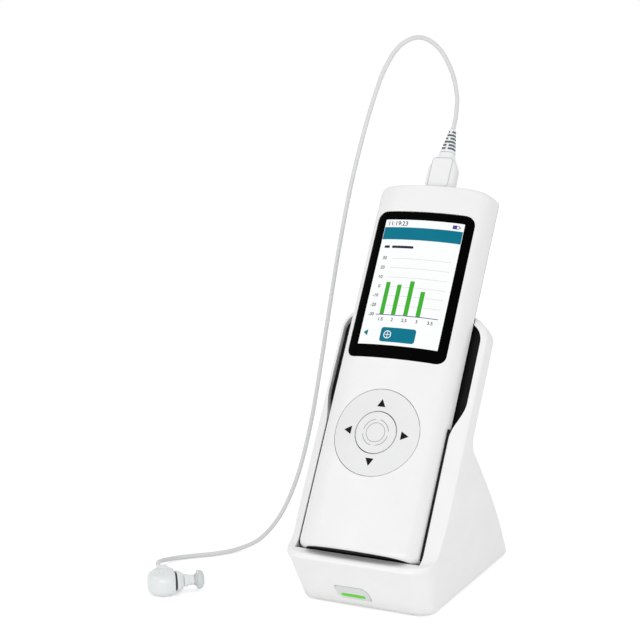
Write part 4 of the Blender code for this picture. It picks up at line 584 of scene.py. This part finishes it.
on_window("screen_button_icon", [ring_part(ICON_RADIUS, ICON_LINE, 0, 176, icon),
                                 ring_part(ICON_RADIUS, ICON_LINE, 180, 356, icon),
                                 rounded(CROSS_LONG, CROSS_THICK, CROSS_CORNER, icon),
                                 rounded(CROSS_THICK, CROSS_LONG, CROSS_CORNER, icon)],
          SCREEN_WHITE, FRONT)


# Keys: four printed arrows on the ring, and the centre button's two printed rings.
ARROW_PLACE, ARROW_TIP, ARROW_BACK, ARROW_HALF = 0.0152, 0.0021, 0.0019, 0.0022
OUTER_RING, OUTER_LINE = 0.0067, 0.00034
INNER_RING, INNER_LINE = 0.0049, 0.0003
keys_middle = (0.0, NAV_MIDDLE)
arrows = []
for k in range(4):
    a = math.radians(90 * k)
    out, side = Vector((math.cos(a), math.sin(a))), Vector((-math.sin(a), math.cos(a)))
    centre = Vector(keys_middle) + out * ARROW_PLACE
    arrows.append([tuple(centre + out * ARROW_TIP),
                   tuple(centre - out * ARROW_BACK + side * ARROW_HALF),
                   tuple(centre - out * ARROW_BACK - side * ARROW_HALF)])
print_on("nav_arrows", arrows, PRINT_BLACK, "nav_ring", KEY_RECESS, GROUND)
rings = [ring_part(OUTER_RING, OUTER_LINE, 10 + 90 * k, 80 + 90 * k, keys_middle)
         for k in range(4)]
rings += [ring_part(INNER_RING, INNER_LINE, 180 * k, 179 + 180 * k, keys_middle)
          for k in range(2)]
print_on("button_rings", rings, PRINT_GREY, "center_button", KEY_RECESS, GROUND)


# Shapes for the pieces below.

def prism(outline, low, high):
    """A closed prism along the handset: outline in u and w, and where it starts and ends in v."""
    count = len(outline)
    points = [on_handset(u, v, w) for v in (low, high) for u, w in outline]
    faces = [(k, (k + 1) % count, count + (k + 1) % count, count + k) for k in range(count)]
    return points, faces + [tuple(range(count)), tuple(range(count, 2 * count))]


def joined(solids):
    """Several solids' points and faces as those of one piece."""
    points, faces = [], []
    for more, sides in solids:
        faces += [tuple(k + len(points) for k in side) for side in sides]
        points += more
    return points, faces


def tube_of(loops):
    """A closed band through four loops with as many points each, the last joined to the first."""
    count = len(loops[0])
    faces = [(a * count + k, a * count + (k + 1) % count, b * count + (k + 1) % count,
              b * count + k) for a, b in ((0, 1), (1, 2), (2, 3), (3, 0)) for k in range(count)]
    return [point for loop in loops for point in loop], faces


# Plug: dark bands of painted shade in the grooves of its strain relief, and the line round its
# finger pad.
RELIEF_FOOT, RELIEF_LENGTH, RELIEF_ROWS = 0.2162, 0.0139, 6
RELIEF_WIDE, RELIEF_DEEP, RELIEF_NARROW = 0.0083, 0.0066, 0.0036
SLIT_INSET, SLIT_HALF, SLIT_CORNER_SHARE = 0.00026, 0.0005, 0.4
groove_shades = []
for row in range(1, RELIEF_ROWS + 1):
    share = row / (RELIEF_ROWS + 1)
    wide = RELIEF_WIDE + (RELIEF_NARROW - RELIEF_WIDE) * share - 2 * SLIT_INSET
    deep = RELIEF_DEEP + (RELIEF_NARROW - RELIEF_DEEP) * share - 2 * SLIT_INSET
    at = RELIEF_FOOT + RELIEF_LENGTH * share
    outline = rounded(wide, deep, deep * SLIT_CORNER_SHARE, (0, -SOCKET_AXIS_DEPTH))
    groove_shades.append(prism(outline, at - SLIT_HALF, at + SLIT_HALF))
piece("relief_groove_shade", *joined(groove_shades), GROOVE_SHADE, "plug", "seal_dark")

PAD_WIDE, PAD_LONG, PAD_FOOT, PAD_FRONT, PAD_CORNER = 0.0115, 0.0165, 0.1956, -0.0066, 0.0018
LINE_INSET, LINE_WIDE, LINE_THICK = 0.0001, 0.0003, 0.00005
pad_middle = (0.0, PAD_FOOT + PAD_LONG / 2)
loops = []
for inset, level in ((LINE_INSET, -LINE_THICK), (LINE_INSET, LINE_THICK),
                     (LINE_INSET + LINE_WIDE, LINE_THICK), (LINE_INSET + LINE_WIDE, -LINE_THICK)):
    outline = rounded(PAD_WIDE - 2 * inset, PAD_LONG - 2 * inset, PAD_CORNER - inset, pad_middle)
    loops.append([on_handset(u, v, PAD_FRONT + level) for u, v in outline])
piece("plug_pad_line", *tube_of(loops), LINE, "plug", "cord_white")

# Black strips on the dock's wings, seen as dark lines between the handset and the wings: partly
# the cradle liner's own black lips, partly painted shade in the gap. A section is given in
# distances from the middle and depths behind the face.
LIP_FOOT, LIP_TOP = 0.002, 0.0685
LIP_IN, LIP_OUT, LIP_BACK, LEFT_FRONT = 0.0327, 0.0333, 0.0184, 0.0130
RIGHT_IN, RIGHT_FRONT, RIGHT_KINK = 0.0323, 0.0115, 0.0150
LIP_AND_SHADE_SECTIONS = (
    ("left", -1, ((LIP_IN, LEFT_FRONT), (LIP_IN, LIP_BACK), (LIP_OUT, LIP_BACK),
                  (LIP_OUT, LEFT_FRONT))),
    ("right", 1, ((RIGHT_IN, RIGHT_FRONT), (LIP_IN, RIGHT_KINK), (LIP_IN, LIP_BACK),
                  (LIP_OUT, LIP_BACK), (LIP_OUT, RIGHT_FRONT))),
)
for word, side, section in LIP_AND_SHADE_SECTIONS:
    lip = [(side * x, -depth) for x, depth in section]
    piece(f"liner_lip_and_gap_shade_{word}", *prism(lip, LIP_FOOT, LIP_TOP), CASE, "dock", "case_black",
          smooth=False)

# The dock's skin round the badge's seat. It reaches out from the seat's gap to SKIN_EDGE, and from
# SKIN_IN below the dock's face to SKIN_OUT above it.
RIM_Y, RIM_Z, FOOT_Y, FOOT_HEIGHT = -0.0618, 0.0269, -0.0467, 0.0008
BADGE_X, BADGE_SHARE, BADGE_WIDE, BADGE_HIGH = -0.0035, 0.30, 0.0185, 0.0082
BADGE_SHARES = (
    (-0.50, 0.36), (-0.44, 0.50), (0.30, 0.50), (0.43, 0.30), (0.50, -0.30), (0.46, -0.50),
    (-0.34, -0.50), (-0.45, -0.30),
)
up_face = Vector((0, RIM_Y - FOOT_Y, RIM_Z - FOOT_HEIGHT))
badge_at = Vector((BADGE_X, FOOT_Y, FOOT_HEIGHT)) + up_face * BADGE_SHARE
up_face.normalize()
out_of_face = Vector((1, 0, 0)).cross(up_face)
SKIN_EDGE, SKIN_IN, SKIN_OUT = 0.0016, -0.0002, 0.00005
loops = []
for grow, level in ((SEAT_GAP, SKIN_IN), (SEAT_GAP, SKIN_OUT), (SKIN_EDGE, SKIN_OUT),
                    (SKIN_EDGE, SKIN_IN)):
    wide, high = BADGE_WIDE + 2 * grow, BADGE_HIGH + 2 * grow
    loops.append([badge_at + Vector((1, 0, 0)) * x * wide + up_face * y * high
                  + out_of_face * level for x, y in BADGE_SHARES])
piece("badge_surround", *tube_of(loops), DOCK, "dock", "dock_white", smooth=False)


# Floor, backdrop and light: even and soft, with the floor's shadow kept. Each lamp is given by its
# name, place, target, size and power.
FLOOR_HALF, FLOOR_PARTS, FLOOR_TONES, FLOOR_NOISE_SCALE = 4.0, 40, (0.85, 0.87), 30.0
FLOOR_LIFT = 0.42
SKY_LIGHT = 0.76
LAMPS = (
    ("key", (-0.8, -0.8, 1.1), (0, 0, 0.1), (0.9, 0.9), 1.4),
    ("fill", (0.55, -1.3, 0.25), (0, 0, 0.08), (1.4, 0.5), 5.4),
)


def plain_view(tree, path):
    """1 for what the camera sees straight, in a reflection or through something clear."""
    last = path.outputs["Is Camera Ray"]
    for ray in ("Is Glossy Ray", "Is Transmission Ray"):
        either = tree.nodes.new("ShaderNodeMath")
        either.operation = "MAXIMUM"
        tree.links.new(last, either.inputs[0])
        tree.links.new(path.outputs[ray], either.inputs[1])
        last = either.outputs[0]
    return last


def floor():
    """A pale, plain floor that takes the shadow."""
    mesh = bpy.data.meshes.new("floor")
    work = bmesh.new()
    bmesh.ops.create_grid(work, x_segments=FLOOR_PARTS, y_segments=FLOOR_PARTS, size=FLOOR_HALF)
    work.to_mesh(mesh)
    work.free()
    look = bpy.data.materials.new("floor_white")
    look.use_nodes = True
    tree = look.node_tree
    tree.nodes.clear()
    out = tree.nodes.new("ShaderNodeOutputMaterial")
    add = tree.nodes.new("ShaderNodeAddShader")
    matt = tree.nodes.new("ShaderNodeBsdfDiffuse")
    lift = tree.nodes.new("ShaderNodeEmission")
    path = tree.nodes.new("ShaderNodeLightPath")
    noise = tree.nodes.new("ShaderNodeTexNoise")
    noise.inputs["Scale"].default_value = FLOOR_NOISE_SCALE
    tone = tree.nodes.new("ShaderNodeValToRGB")
    for element, level in zip(tone.color_ramp.elements, FLOOR_TONES):
        element.color = (level, level, level, 1)
    strength = tree.nodes.new("ShaderNodeMath")
    strength.operation = "MULTIPLY"
    strength.inputs[1].default_value = FLOOR_LIFT
    tree.links.new(noise.outputs["Fac"], tone.inputs["Fac"])
    tree.links.new(tone.outputs["Color"], matt.inputs["Color"])
    tree.links.new(plain_view(tree, path), strength.inputs[0])
    tree.links.new(strength.outputs[0], lift.inputs["Strength"])
    tree.links.new(matt.outputs[0], add.inputs[0])
    tree.links.new(lift.outputs[0], add.inputs[1])
    tree.links.new(add.outputs[0], out.inputs["Surface"])
    mesh.materials.append(look)
    made = bpy.data.objects.new("floor", mesh)
    bpy.context.scene.collection.objects.link(made)
    made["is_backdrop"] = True


floor()
world = bpy.data.worlds.new("studio")
bpy.context.scene.world = world
world.use_nodes = True
tree = world.node_tree
background = tree.nodes["Background"]
background.inputs["Color"].default_value = (1, 1, 1, 1)
strength = tree.nodes.new("ShaderNodeMapRange")
strength.inputs["To Min"].default_value = SKY_LIGHT
strength.inputs["To Max"].default_value = 1.0
tree.links.new(plain_view(tree, tree.nodes.new("ShaderNodeLightPath")), strength.inputs["Value"])
tree.links.new(strength.outputs["Result"], background.inputs["Strength"])


def lamp(name, place, target, size, power):
    light = bpy.data.lights.new(name, "AREA")
    light.shape = "RECTANGLE"
    light.size, light.size_y = size
    light.energy = power
    made = bpy.data.objects.new(name, light)
    bpy.context.scene.collection.objects.link(made)
    made.location = place
    made.rotation_euler = (Vector(target) - Vector(place)).to_track_quat("-Z", "Y").to_euler()


for values in LAMPS:
    lamp(*values)

bpy.context.scene.view_settings.view_transform = "Standard"

bpy.context.view_layer.update()
low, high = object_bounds()
